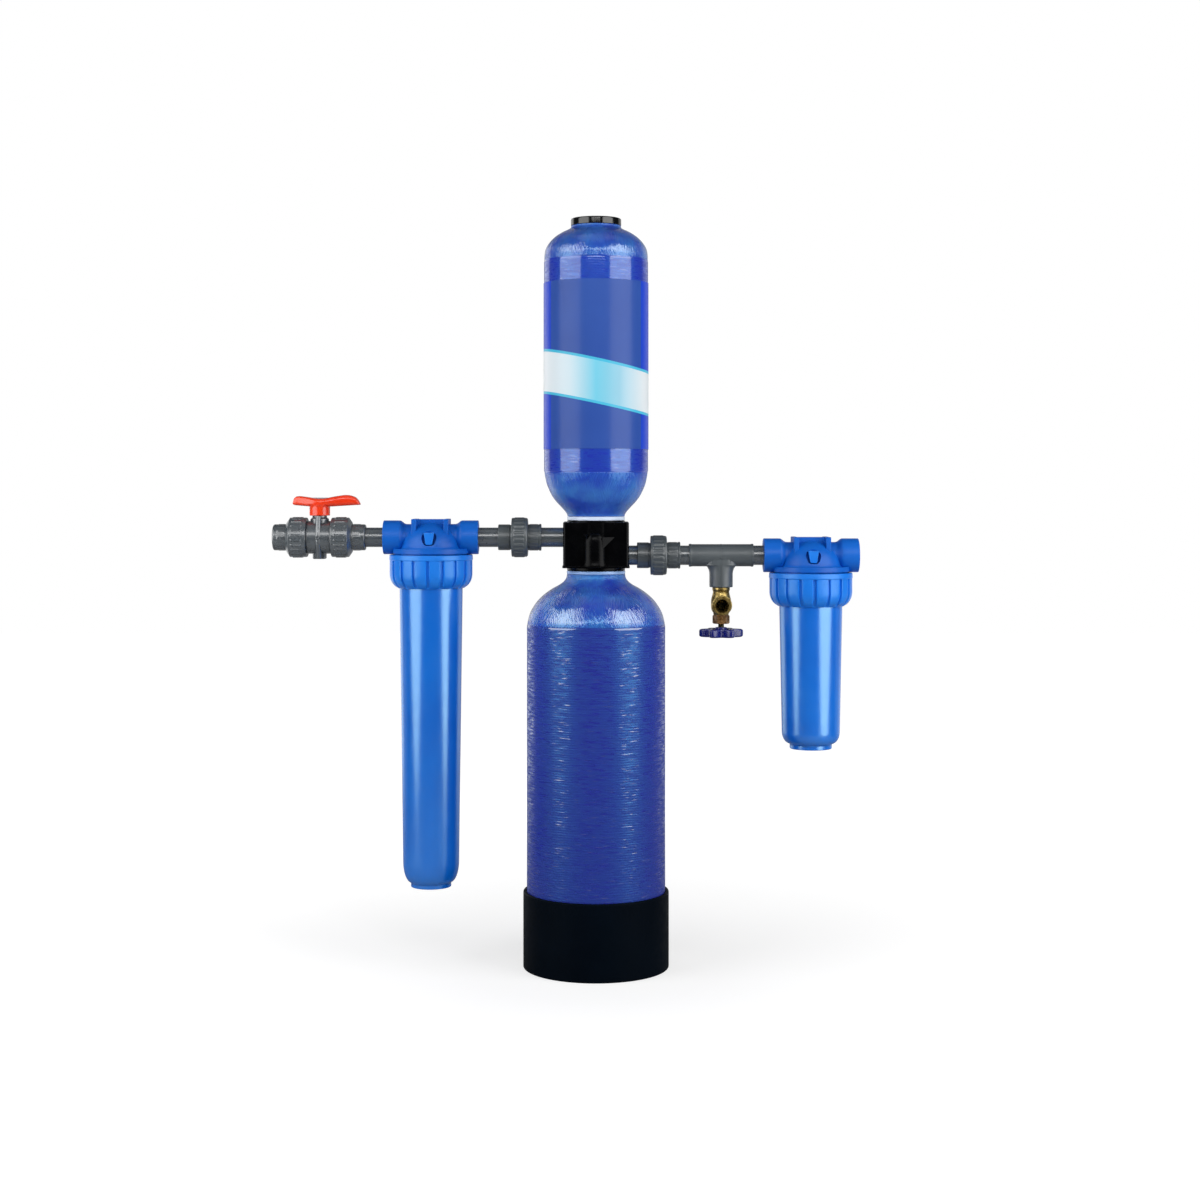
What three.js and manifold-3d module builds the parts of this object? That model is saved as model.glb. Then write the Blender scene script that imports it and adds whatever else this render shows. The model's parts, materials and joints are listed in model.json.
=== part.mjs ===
// Whole house water filter, in millimetres, +Z up and the front towards -Y.
// Two stacked pressure tanks stand in a boot. A black block between them takes the inlet pipe from the
// left, with a ball valve and a long prefilter, and the outlet pipe to the right, with a drain valve
// under a tee and a short postfilter. The origin is the centre of the boot's underside.
import * as THREE from 'three';
import { mergeVertices } from 'three/addons/utils/BufferGeometryUtils.js';
import Module from 'manifold-3d';

const wasm = await Module();
wasm.setup();

// Fits that all pieces share: the gap between pieces that touch, and how far a cutter overruns.
const fit = { gap: 0.3, overrun: 2 };

// Flat sides round a turned piece, and steps along a curved stretch of its outline.
const sides = { tank: 24, housing: 18, fitting: 12, small: 10, ring: 6, ball: 12, hexagon: 6 };
const bends = { outside: 5, inside: 3, round: 2 };

const boot = { wall: 5.2, height: 116, edge: 2, floor: 4, seatRadius: 68, rise: 8 };
const lowerTank = {
  radius: 105, wall: 4, straight: 445, bottomDome: 62, topDome: 76,
  collarRadius: 44.3, collarHeight: 12, spigotRadius: 31, spigotHeight: 10, bore: 24, freeboard: 45,
};
const upperTank = {
  radius: 79, wall: 3.5, straight: 321, bottomDome: 80, topDome: 48,
  collarRadius: 43.5, collarHeight: 6.5, spigotRadius: 31, spigotHeight: 10, bore: 24,
  neckRadius: 38, neckHeight: 4.5, neckBore: 26, strainerDrop: 11.8,
};
const lowerGasket = { proud: 0.1, height: 5.1 };
const upperGasket = { proud: 0.3, height: 6 };
const riser = { radius: 12.5, wall: 1.7 };
const strainer = { radius: 20, height: 55, wall: 2.4, socket: 20 };
const cap = { proud: 0.2, height: 10.7, edge: 2.5, plugDepth: 14 };
const label = { thickness: 0.4, rise: 28, height: 252 };

const manifold = {
  halfWidth: 49.5, halfDepth: 42, corner: 9, lipRadius: 44, bottomLip: 4.5, blockHeight: 69, topLip: 2,
  leftPort: 50, rightPort: 22.7, portDepth: 14, passage: 9.5, chamberRadius: 24, partition: 8,
  partitionHeight: 36.4, flangeProud: 1.2, flangeHeight: 3.5,
};
const manifoldBoss = { radius: 15.5, offset: -2.5, proud: 8, top: 59 };

const pipe = { radius: 14.8, wall: 2.8 };
// Free lengths of pipe between the fittings.
const run = {
  manifoldToLeftUnion: 33.6, leftUnionToPrefilter: 30.1, prefilterToValve: 27.4,
  manifoldToRightUnion: 12.8, rightUnionToTee: 13.3, teeToPostfilter: 15.3,
};

const union = {
  hubRadius: 19.6, halfLength: 32.7, socket: 19, threadRadius: 23, threadEnd: 2, collar: 3.7,
  grooveInner: 17, grooveOuter: 20, grooveDepth: 2.4,
};
const unionNut = { radius: 29.6, halfLength: 12.3, chamfer: 2.2 };

const tee = {
  halfLength: 49, radius: 16.9, branchRadius: 17.75, branchReach: 48.3, socket: 20, webReach: 27,
  webDrop: 10, webThickness: 5, edge: 1.2,
};

const valve = {
  radius: 25, halfLength: 18.4, ribRadius: 26.2, ribHalfWidth: 3.3, threadRadius: 23, threadReach: 34,
  neckRadius: 12, neckFoot: 17, neckRound: 22, neckTop: 32.7,
  bossHalfWidth: 9.5, bossHalfDepth: 9, bossDrop: 32.8, bossHole: 4, bossHoleDepth: 9,
  nub: 3, nubProud: 0.8,
};
const valveNut = { radius: 30, length: 31, chamfer: 6 };
const valveEnd = { radius: 19.75, reach: 70, collar: 4, socket: 21, edge: 1.5 };
const ball = { radius: 14.5, bore: 9.5, slotWidth: 4.6, slotDepth: 4 };
const seat = { lip: 13.5, reach: 17 };
const stem = { radius: 5, tangWidth: 8, top: 46.7 };
const handle = {
  hubRadius: 15.6, hubTop: 52, roof: 3, shortReach: 40, longReach: 62, wingBottom: 48.6, waistTop: 57.5,
  shortTop: 64, longTop: 65, rootHalfWidth: 16, tipHalfWidth: 7.5,
  shortPeakShare: 0.75, longPeakShare: 0.7,
};

const head = {
  portReach: 72, portRadius: 25.7, portLength: 26, portTaper: 7, barrelRadius: 20.2, socket: 20,
  passage: 9, domeWall: 4.5, domeFoot: 18, domeRise: 42, bossHalfWidth: 30, bossHalfDepth: 28,
  bossTop: 28, ribWidth: 7.6, webHalfDepth: 12, screwHole: 2.2, screwDepth: 14, screwInset: 5,
  flangeProud: 2.1, flange: 8, skirtLength: 24, skirtWall: 6.2,
  chamberInset: 8, chamberTop: 16, postRadius: 16, post: 2.5, drop: 8,
};
const ringNut = {
  wall: 2.9, rim: 8, rimProud: 2.8, ribProud: 2, ribWidth: 4.2, ribs: 18, length: 50.5,
  roundHeight: 16, bottomInset: 5, lip: 15.5,
};
const bowl = {
  clearance: 12.65, wall: 3.6, flangeWidth: 8.5, flange: 9, grooveWidth: 4.2, grooveDepth: 2.8,
  floor: 11, seatRadius: 22, footInset: 2.5,
};
const longBowl = {
  cartridge: 495.8, seat: 4, taper: 5.5, roundWidth: 12, roundHeight: 32, footHeight: 7,
};
const shortBowl = {
  cartridge: 254, seat: 9, taper: 4, roundWidth: 12, roundHeight: 18, footHeight: 7.5,
};
const cartridge = { radius: 31.75, coreRadius: 13.5, coreBore: 11, endCap: 4, capInset: 0.75 };
const button = {
  halfWidth: 7.75, halfHeight: 9.35, below: 1.5, inset: 3, length: 13.5, travel: 3, corner: 4,
  recessHalfWidth: 11.5, recessHalfHeight: 10.5, recessDepth: 7.5, vent: 1.5,
};

const drain = {
  neckRadius: 13.4, neckLength: 15, spigotRadius: 11, spigotLength: 11, bodyRadius: 15.3, bodyLength: 23.4,
  lowerRadius: 11.5, lowerLength: 3.5, seatBore: 5.5, seat: 3.5, seatDepth: 19, chamber: 10.4,
  inlet: 7.5, outletDrop: 26, outletRadius: 13, outletBore: 7.5, outletReach: 30,
};
const packingNut = { radius: 13, length: 13, spigotLength: 5.5 };
const washer = { radius: 8.6, thickness: 4 };
const drainStem = { radius: 4.4, headRadius: 7, head: 4 };
const wheel = {
  radius: 30.6, lobe: 2.8, lobes: 6, rim: 10.5, rimDrop: 2.5, hubRadius: 9, hub: 13.3, below: 5.4,
  windowCircle: 17.5, window: 5.5, outline: 36,
};
const wheelScrew = { radius: 4, head: 2.6, shank: 2, depth: 7 };

// Colours of the plastics, metals and coatings.
const finish = {
  tankBlue: paint('#1c2fb4', 0.3, 0),
  labelBlue: paint('#1a3f9c', 0.4, 0),
  black: paint('#0b0d12', 0.35, 0),
  paleRing: paint('#c9d9ee', 0.4, 0),
  pvc: paint('#5c636a', 0.45, 0),
  red: paint('#f0502a', 0.4, 0),
  headBlue: paint('#1f5fc0', 0.45, 0),
  nutBlue: paint('#2f86ea', 0.4, 0),
  bowlBlue: paint('#1c70dc', 0.25, 0),
  brass: paint('#a88a4a', 0.4, 1),
  wheelBlue: paint('#1d2f8c', 0.45, 0),
  steel: paint('#9a9c9e', 0.35, 1),
  rubber: paint('#151515', 0.8, 0),
  media: paint('#3b3733', 0.9, 0),
  white: paint('#e6e6e0', 0.5, 0),
};

function paint(color, roughness, metalness) {
  return new THREE.MeshStandardMaterial({ color, roughness, metalness });
}

// A solid from closed geometry: like corners are welded and triangles without area are dropped.
function solid(shape) {
  if (!(shape instanceof THREE.BufferGeometry)) return shape;
  const bare = new THREE.BufferGeometry();
  bare.setAttribute('position', shape.getAttribute('position').clone());
  bare.setIndex(shape.index);
  const welded = mergeVertices(bare);
  const corners = welded.index.array;
  const kept = [];
  for (let i = 0; i < corners.length; i += 3) {
    const [a, b, c] = [corners[i], corners[i + 1], corners[i + 2]];
    if (a !== b && b !== c && c !== a) kept.push(a, b, c);
  }
  return new wasm.Manifold(new wasm.Mesh({
    numProp: 3,
    vertProperties: new Float32Array(welded.getAttribute('position').array),
    triVerts: new Uint32Array(kept),
  }));
}

function joined(first, ...others) {
  return others.reduce((whole, other) => whole.add(solid(other)), solid(first));
}

function cut(first, ...cutters) {
  return cutters.reduce((whole, cutter) => whole.subtract(solid(cutter)), solid(first));
}

function shared(first, second) {
  return solid(first).intersect(solid(second));
}

// A named mesh from geometry or a solid.
function piece(name, shape, material) {
  const mesh = solid(shape).getMesh();
  const geometry = new THREE.BufferGeometry();
  geometry.setAttribute('position', new THREE.BufferAttribute(new Float32Array(mesh.vertProperties), 3));
  geometry.setIndex(new THREE.BufferAttribute(new Uint32Array(mesh.triVerts), 1));
  geometry.computeVertexNormals();
  const made = new THREE.Mesh(geometry, material);
  made.name = name;
  return made;
}

function assembly(x, y, z, ...pieces) {
  const group = new THREE.Group();
  group.position.set(x, y, z);
  group.add(...pieces);
  return group;
}

// A piece turned about Z from an outline of [radius, height] points, given either way round.
// An outline that doesn't start and end on the axis closes on itself as a ring.
function turned(outline, count) {
  const points = outline.map(([radius, height]) => new THREE.Vector2(radius, height));
  if (THREE.ShapeUtils.area(points) < 0) points.reverse();
  const onAxis = Math.abs(points[0].x) < 1e-6 && Math.abs(points.at(-1).x) < 1e-6;
  if (!onAxis) points.push(points[0].clone());
  return new THREE.LatheGeometry(points, count).rotateX(Math.PI / 2);
}

function rod(radius, low, high, count) {
  return turned([[0, low], [radius, low], [radius, high], [0, high]], count);
}

function tube(inner, outer, low, high, count) {
  return turned([[inner, low], [outer, low], [outer, high], [inner, high]], count);
}

// Turns a shape that runs along +Z to run along +X, or along -Y towards the front.
function alongX(geometry) {
  return geometry.rotateY(Math.PI / 2);
}

function alongFront(geometry) {
  return geometry.rotateX(Math.PI / 2);
}

function slab(lowX, highX, lowY, highY, lowZ, highZ) {
  return new THREE.BoxGeometry(highX - lowX, highY - lowY, highZ - lowZ)
    .translate((lowX + highX) / 2, (lowY + highY) / 2, (lowZ + highZ) / 2);
}

// A plate from an outline in X and Y, from one height to another.
function plate(outline, low, high) {
  const shape = new THREE.Shape(outline.map(([x, y]) => new THREE.Vector2(x, y)));
  return new THREE.ExtrudeGeometry(shape, { depth: high - low, bevelEnabled: false }).translate(0, 0, low);
}

// Points on an ellipse about [radius, height], from one angle to another in degrees.
function arc(radius, height, across, up, from, to, count) {
  return Array.from({ length: count + 1 }, (unused, i) => {
    const angle = THREE.MathUtils.degToRad(from + ((to - from) * i) / count);
    return [radius + across * Math.cos(angle), height + up * Math.sin(angle)];
  });
}

// The angle, in degrees, at which a dome has drawn in to an end radius.
function drawnIn(domeRadius, endRadius) {
  return THREE.MathUtils.radToDeg(Math.acos(endRadius / domeRadius));
}

// The height that a dome has risen where it has drawn in to an end radius.
function domeRiseAt(domeRadius, rise, endRadius) {
  return rise * Math.sin(Math.acos(endRadius / domeRadius));
}

// The height of an outline at a radius, between its points.
function heightAt(outline, radius) {
  const i = outline.findIndex(([r], k) => k > 0 && (outline[k - 1][0] - radius) * (r - radius) <= 0);
  const [[r0, z0], [r1, z1]] = [outline[i - 1], outline[i]];
  return z0 + ((z1 - z0) * (radius - r0)) / (r1 - r0);
}

// The part of a rising outline that lies outside a radius, from a point at that radius on.
function outsideOf(outline, radius) {
  return [[radius, heightAt(outline, radius)], ...outline.filter(([r]) => r > radius)];
}

// The part of a rising outline that lies below a height, with the point at that height last.
function below(outline, height) {
  const i = outline.findIndex(([, z]) => z >= height);
  const [[r0, z0], [r1, z1]] = [outline[i - 1], outline[i]];
  return [...outline.slice(0, i), [r0 + ((r1 - r0) * (height - z0)) / (z1 - z0), height]];
}

// The corner radius of a faceted bore whose flats clear a round piece that may turn in it.
function boreFor(radius, count) {
  return (radius + fit.gap) / Math.cos(Math.PI / count);
}

// The side of a two-domed tank from its lower end radius to its upper end radius.
function tankSide(radius, low, high, lowRise, highRise, lowEnd, highEnd, count) {
  return [
    ...arc(0, low, radius, lowRise, -drawnIn(radius, lowEnd), 0, count),
    ...arc(0, high, radius, highRise, 0, drawnIn(radius, highEnd), count),
  ];
}

// Radii that follow the piece inside them.
const bootRadius = lowerTank.radius + fit.gap + boot.wall;
const pipeSocket = boreFor(pipe.radius, sides.fitting);
const pipeBore = pipe.radius - pipe.wall;
const ballChamber = boreFor(ball.radius, sides.fitting);
const bowlRadius = cartridge.radius + bowl.clearance + bowl.wall;
const bowlFlange = bowlRadius + bowl.flangeWidth;
const skirtRadius = bowlFlange - fit.gap;
const skirtBore = skirtRadius - head.skirtWall;
const chamberRadius = skirtBore - head.chamberInset;
const headDome = chamberRadius + head.domeWall;
const headFlange = skirtRadius + head.flangeProud;
const nutBore = boreFor(bowlFlange, sides.housing);
const nutBody = nutBore + ringNut.wall;
const nutBottom = nutBody - ringNut.bottomInset;

// Heights of the tank stack, each standing on the piece below it.
const lowerStraightLow = boot.rise + lowerTank.bottomDome;
const lowerStraightHigh = lowerStraightLow + lowerTank.straight;
const lowerCollarTop = lowerStraightHigh
  + domeRiseAt(lowerTank.radius, lowerTank.topDome, lowerTank.collarRadius) + lowerTank.collarHeight;
const lowerGasketLow = lowerCollarTop + fit.gap;
const manifoldLow = lowerGasketLow + lowerGasket.height + fit.gap;
const blockLow = manifoldLow + manifold.bottomLip;
const blockHigh = blockLow + manifold.blockHeight;
const manifoldHigh = blockHigh + manifold.topLip;
const upperGasketLow = manifoldHigh + fit.gap;
const upperCollarLow = upperGasketLow + upperGasket.height + fit.gap;
const upperStraightLow = upperCollarLow + upperTank.collarHeight
  + domeRiseAt(upperTank.radius, upperTank.bottomDome, upperTank.collarRadius);
const upperStraightHigh = upperStraightLow + upperTank.straight;
const neckTop = upperStraightHigh
  + domeRiseAt(upperTank.radius, upperTank.topDome, upperTank.neckRadius) + upperTank.neckHeight;
const plugLow = neckTop + fit.gap - cap.plugDepth;
const riserMeeting = manifoldLow + manifold.partitionHeight;
const leftLine = manifoldLow + manifold.leftPort;
const rightLine = manifoldLow + manifold.rightPort;

// Places along the two pipe lines, outwards from the manifold.
const leftUnionX = -(manifold.halfWidth + run.manifoldToLeftUnion + union.halfLength);
const prefilterX = leftUnionX - union.halfLength - run.leftUnionToPrefilter - head.portReach;
const valveX = prefilterX - head.portReach - run.prefilterToValve - valveEnd.reach;
const rightUnionX = manifold.halfWidth + run.manifoldToRightUnion + union.halfLength;
const teeX = rightUnionX + union.halfLength + run.rightUnionToTee + tee.halfLength;
const postfilterX = teeX + tee.halfLength + run.teeToPostfilter + head.portReach;

function bootPiece() {
  const bore = lowerTank.radius + fit.gap;
  const dome = arc(0, lowerStraightLow, bore, lowerTank.bottomDome + fit.gap, -90, 0, bends.outside);
  const outline = [
    [0, 0], [bootRadius - boot.edge, 0], [bootRadius, boot.edge],
    [bootRadius, boot.height - boot.edge], [bootRadius - boot.edge, boot.height], [bore, boot.height],
    ...outsideOf(dome, boot.seatRadius).reverse(), [boot.seatRadius, boot.floor], [0, boot.floor],
  ];
  return piece('base_boot', turned(outline, sides.tank), finish.black);
}

// The hollow of the lower tank, shrunk by an inset, from the bottom of its dome up to its neck.
function lowerHollow(inset) {
  const shrink = lowerTank.wall + inset;
  return tankSide(
    lowerTank.radius - shrink, lowerStraightLow, lowerStraightHigh,
    lowerTank.bottomDome - shrink, lowerTank.topDome - shrink, 0, lowerTank.bore, bends.inside,
  );
}

function lowerTankPiece() {
  const outside = tankSide(
    lowerTank.radius, lowerStraightLow, lowerStraightHigh, lowerTank.bottomDome, lowerTank.topDome,
    0, lowerTank.collarRadius, bends.outside,
  );
  const spigotTop = lowerCollarTop + lowerTank.spigotHeight;
  const outline = [
    ...outside, [lowerTank.collarRadius, lowerCollarTop], [lowerTank.spigotRadius, lowerCollarTop],
    [lowerTank.spigotRadius, spigotTop], [lowerTank.bore, spigotTop], ...lowerHollow(0).reverse(),
  ];
  return piece('lower_tank', turned(outline, sides.tank), finish.tankBlue);
}

const lowerStrainerLow = heightAt(lowerHollow(0), strainer.radius) + fit.gap;
const lowerStrainerHigh = lowerStrainerLow + strainer.height;

// A basket that opens upwards, with a socket for the end of the riser.
function strainerShape() {
  const socketBore = riser.radius + fit.gap;
  const inside = riser.radius - riser.wall;
  const socketFloor = strainer.height - strainer.socket;
  return turned([
    [0, 0], [strainer.radius, 0], [strainer.radius, strainer.height], [socketBore, strainer.height],
    [socketBore, socketFloor], [inside, socketFloor], [inside, strainer.wall], [0, strainer.wall],
  ], sides.small);
}

function lowerBedPieces() {
  const bedTop = lowerStraightHigh - lowerTank.freeboard;
  const strainerHole = boreFor(strainer.radius, sides.tank);
  const riserHole = boreFor(riser.radius, sides.tank);
  const outline = [
    ...below(outsideOf(lowerHollow(fit.gap), strainerHole), bedTop), [riserHole, bedTop],
    [riserHole, lowerStrainerHigh + fit.gap], [strainerHole, lowerStrainerHigh + fit.gap],
  ];
  const strainerPiece = piece('lower_strainer', strainerShape(), finish.white);
  strainerPiece.position.z = lowerStrainerLow;
  const riserLow = lowerStrainerHigh - strainer.socket + fit.gap;
  return [
    piece('lower_media', turned(outline, sides.tank), finish.media),
    strainerPiece,
    piece('lower_riser', riserShape(riserLow, riserMeeting - fit.gap / 2), finish.white),
  ];
}

function riserShape(low, high) {
  return tube(riser.radius - riser.wall, riser.radius, low, high, sides.small);
}

function gasketPieces() {
  const bore = lowerTank.spigotRadius + fit.gap;
  const upperBore = upperTank.spigotRadius + fit.gap;
  const lower = tube(
    bore, lowerTank.collarRadius + lowerGasket.proud, lowerGasketLow, lowerGasketLow + lowerGasket.height,
    sides.tank,
  );
  const upper = tube(
    upperBore, upperTank.collarRadius + upperGasket.proud, upperGasketLow,
    upperGasketLow + upperGasket.height, sides.tank,
  );
  return [piece('lower_gasket', lower, finish.paleRing), piece('upper_gasket', upper, finish.paleRing)];
}

// The block's outline with its four corners cut off, grown by a margin.
function blockOutline(margin) {
  const [x, y] = [manifold.halfWidth + margin, manifold.halfDepth + margin];
  const corner = manifold.corner;
  return [
    [x - corner, -y], [x, -y + corner], [x, y - corner], [x - corner, y],
    [-x + corner, y], [-x, y - corner], [-x, -y + corner], [-x + corner, -y],
  ];
}

// The half-round boss with a domed top that runs down the block's front.
function manifoldBossShape() {
  const { radius, proud, offset, top } = manifoldBoss;
  const dome = arc(0, manifoldLow + top - radius, radius, radius, 0, 90, bends.round);
  const boss = turned([[0, blockLow], [radius, blockLow], ...dome], sides.small);
  return boss.translate(offset, -(manifold.halfDepth + proud - radius), 0);
}

// One side port: the pipe's socket, and the passage from it into a chamber.
function manifoldPort(side, height) {
  const socket = rod(
    pipeSocket, manifold.halfWidth - manifold.portDepth, manifold.halfWidth + fit.overrun, sides.fitting,
  );
  const passageEnd = manifold.halfWidth - manifold.portDepth + fit.overrun;
  const passage = rod(manifold.passage, 0, passageEnd, sides.small);
  const port = joined(alongX(socket), alongX(passage));
  return port.rotate([0, 0, side < 0 ? 180 : 0]).translate([0, 0, height]);
}

// The lower chamber takes the lower tank's spigot, the upper one the upper tank's, and both risers meet
// in the partition between them.
function manifoldBores() {
  const spigotTop = lowerCollarTop + lowerTank.spigotHeight + fit.gap;
  const upperSpigotLow = upperCollarLow - upperTank.spigotHeight - fit.gap;
  const lowerBore = lowerTank.spigotRadius + fit.gap;
  const upperBore = upperTank.spigotRadius + fit.gap;
  const lowerRoof = riserMeeting - manifold.partition / 2;
  const upperFloor = riserMeeting + manifold.partition / 2;
  return turned([
    [0, manifoldLow - fit.overrun], [lowerBore, manifoldLow - fit.overrun], [lowerBore, spigotTop],
    [manifold.chamberRadius, spigotTop], [manifold.chamberRadius, lowerRoof],
    [boreFor(riser.radius, sides.tank), lowerRoof], [boreFor(riser.radius, sides.tank), upperFloor],
    [manifold.chamberRadius, upperFloor], [manifold.chamberRadius, upperSpigotLow],
    [upperBore, upperSpigotLow], [upperBore, manifoldHigh + fit.overrun], [0, manifoldHigh + fit.overrun],
  ], sides.tank);
}

function manifoldPiece() {
  const body = joined(
    plate(blockOutline(0), blockLow, blockHigh),
    plate(blockOutline(manifold.flangeProud), blockLow, blockLow + manifold.flangeHeight),
    rod(manifold.lipRadius, manifoldLow, manifoldHigh, sides.tank),
    manifoldBossShape(),
  );
  const shape = cut(body, manifoldBores(), manifoldPort(-1, leftLine), manifoldPort(1, rightLine));
  return piece('manifold', shape, finish.black);
}

// The hollow of the upper tank, shrunk by an inset.
function upperHollow(inset) {
  const shrink = upperTank.wall + inset;
  return tankSide(
    upperTank.radius - shrink, upperStraightLow, upperStraightHigh,
    upperTank.bottomDome - shrink, upperTank.topDome - shrink, upperTank.bore, upperTank.neckBore,
    bends.inside,
  );
}

function upperTankPiece() {
  const outside = tankSide(
    upperTank.radius, upperStraightLow, upperStraightHigh, upperTank.bottomDome, upperTank.topDome,
    upperTank.collarRadius, upperTank.neckRadius, bends.outside,
  );
  const spigotLow = upperCollarLow - upperTank.spigotHeight;
  const outline = [
    [upperTank.bore, spigotLow], [upperTank.spigotRadius, spigotLow],
    [upperTank.spigotRadius, upperCollarLow], [upperTank.collarRadius, upperCollarLow], ...outside,
    [upperTank.neckRadius, neckTop], [upperTank.neckBore, neckTop], ...upperHollow(0).reverse(),
  ];
  return piece('upper_tank', turned(outline, sides.tank), finish.tankBlue);
}

// The upper strainer hangs just below the cap's plug, and the bed reaches up to it.
function upperBedPieces() {
  const strainerLow = plugLow - upperTank.strainerDrop - strainer.height;
  const bedTop = strainerLow - fit.gap;
  const outside = below(upperHollow(fit.gap), bedTop);
  const riserHole = boreFor(riser.radius, sides.tank);
  const outline = [...outside, [riserHole, bedTop], [riserHole, outside[0][1]]];
  const basket = strainerShape().rotateX(Math.PI).translate(0, 0, strainerLow + strainer.height);
  const riserHigh = strainerLow + strainer.socket - fit.gap;
  return [
    piece('upper_media', turned(outline, sides.tank), finish.media),
    piece('upper_strainer', basket, finish.white),
    piece('upper_riser', riserShape(riserMeeting + fit.gap / 2, riserHigh), finish.white),
  ];
}

function capPiece() {
  const low = neckTop + fit.gap;
  const plug = upperTank.neckBore - fit.gap;
  const top = low + cap.height;
  const radius = upperTank.neckRadius + cap.proud;
  const outline = [
    [0, plugLow], [plug, plugLow], [plug, low], [radius, low],
    [radius, top - cap.edge], [radius - cap.edge, top], [0, top],
  ];
  return piece('top_cap', turned(outline, sides.tank), finish.black);
}

function labelPiece() {
  const inner = upperTank.radius + fit.gap;
  const low = upperStraightLow + label.rise;
  return piece(
    'tank_label', tube(inner, inner + label.thickness, low, low + label.height, sides.tank), finish.labelBlue,
  );
}

// A pipe along X whose ends stand in the sockets of two fittings.
function pipePiece(name, lowFace, lowSocket, highFace, highSocket) {
  const shape = tube(
    pipeBore, pipe.radius, lowFace - lowSocket + fit.gap, highFace + highSocket - fit.gap, sides.fitting,
  );
  return piece(name, alongX(shape), finish.pvc);
}

// A nut about X: a threaded mouth on its low side and a lip that draws a collar in on its high side.
function nutShape(low, high, radius, chamfer, threadRadius, lipLow, lipRadius) {
  const mouth = boreFor(threadRadius, sides.fitting);
  const lip = boreFor(lipRadius, sides.fitting);
  return alongX(turned([
    [mouth, low], [radius, low], [radius, high - chamfer], [radius - chamfer / 2, high], [lip, high],
    [lip, lipLow], [mouth, lipLow],
  ], sides.fitting));
}

// The last angle round an o-ring's section, in degrees.
const ringEnd = 360 - 360 / sides.ring;

// An o-ring about the axis that the outline is turned on.
function ringShape(radius, height, section) {
  return turned(arc(radius, height, section, section, 0, ringEnd, sides.ring - 1), sides.fitting);
}

// One union about X, with its threaded hub on the low side.
function unionPieces(name, x, z) {
  const { hubRadius, halfLength, socket, threadRadius, threadEnd, collar } = union;
  const collarRadius = threadRadius - fit.gap;
  const collarLow = threadEnd + fit.gap;
  const collarHigh = collarLow + collar;
  const grooveFloor = threadEnd - union.grooveDepth;
  const threaded = turned([
    [pipeSocket, -halfLength], [hubRadius, -halfLength], [hubRadius, -unionNut.halfLength],
    [threadRadius, -unionNut.halfLength], [threadRadius, threadEnd], [union.grooveOuter, threadEnd],
    [union.grooveOuter, grooveFloor], [union.grooveInner, grooveFloor], [union.grooveInner, threadEnd],
    [pipeBore, threadEnd], [pipeBore, socket - halfLength], [pipeSocket, socket - halfLength],
  ], sides.fitting);
  const tail = turned([
    [pipeBore, collarLow], [collarRadius, collarLow], [collarRadius, collarHigh], [hubRadius, collarHigh],
    [hubRadius, halfLength], [pipeSocket, halfLength], [pipeSocket, halfLength - socket],
    [pipeBore, halfLength - socket],
  ], sides.fitting);
  const nut = nutShape(
    -unionNut.halfLength, unionNut.halfLength, unionNut.radius, unionNut.chamfer, threadRadius,
    collarHigh + fit.gap, hubRadius,
  );
  const section = (union.grooveDepth - fit.gap) / 2;
  const sealRadius = (union.grooveInner + union.grooveOuter) / 2;
  const seal = ringShape(sealRadius, grooveFloor + fit.gap + section, section);
  return assembly(
    x, 0, z,
    piece(`${name}_threaded_hub`, alongX(threaded), finish.pvc),
    piece(`${name}_tail_hub`, alongX(tail), finish.pvc),
    piece(`${name}_nut`, nut, finish.pvc),
    piece(`${name}_o_ring`, alongX(seal), finish.rubber),
  );
}

// The webs that fill the corners between the tee's barrel and its branch.
function teeWebs() {
  const web = plate([
    [-tee.webReach, 0], [tee.webReach, 0], [tee.webReach, -tee.radius],
    [tee.branchRadius, -tee.radius - tee.webDrop], [-tee.branchRadius, -tee.radius - tee.webDrop],
    [-tee.webReach, -tee.radius],
  ], -tee.webThickness / 2, tee.webThickness / 2);
  return web.rotateX(Math.PI / 2);
}

function teePiece() {
  const edged = (radius, reach) => [
    [0, 0], [radius, 0], [radius, reach - tee.edge], [radius - tee.edge, reach], [0, reach],
  ];
  const half = () => alongX(turned(edged(tee.radius, tee.halfLength), sides.fitting));
  const branch = turned(edged(tee.branchRadius, tee.branchReach), sides.fitting).rotateX(Math.PI);
  const body = joined(half(), half().rotateZ(Math.PI), branch, teeWebs());
  const shoulder = tee.halfLength - tee.socket;
  const through = alongX(turned([
    [0, -tee.halfLength - fit.overrun], [pipeSocket, -tee.halfLength - fit.overrun],
    [pipeSocket, -shoulder], [pipeBore, -shoulder], [pipeBore, shoulder], [pipeSocket, shoulder],
    [pipeSocket, tee.halfLength + fit.overrun], [0, tee.halfLength + fit.overrun],
  ], sides.fitting));
  const drainBore = boreFor(drain.spigotRadius, sides.fitting);
  const drainSocket = drain.spigotLength;
  const down = turned([
    [0, -tee.branchReach - fit.overrun], [drainBore, -tee.branchReach - fit.overrun],
    [drainBore, drainSocket - tee.branchReach], [drain.inlet, drainSocket - tee.branchReach],
    [drain.inlet, 0], [0, 0],
  ], sides.fitting);
  return assembly(teeX, 0, rightLine, piece('tee', cut(body, through, down), finish.pvc));
}

// Heights of the drain valve below the tee's branch, from its neck's top face down.
const drainBodyTop = -drain.neckLength;
const drainBodyLow = drainBodyTop - drain.bodyLength;
const drainLow = drainBodyLow - drain.lowerLength;
const seatFace = -drain.seatDepth - drain.seat;
const washerLow = seatFace - fit.gap - washer.thickness;
const stemHeadTop = washerLow - fit.gap;
const packingTop = drainLow - fit.gap;
const packingLow = packingTop - packingNut.length;
const wheelTop = packingLow - wheel.below;

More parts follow.
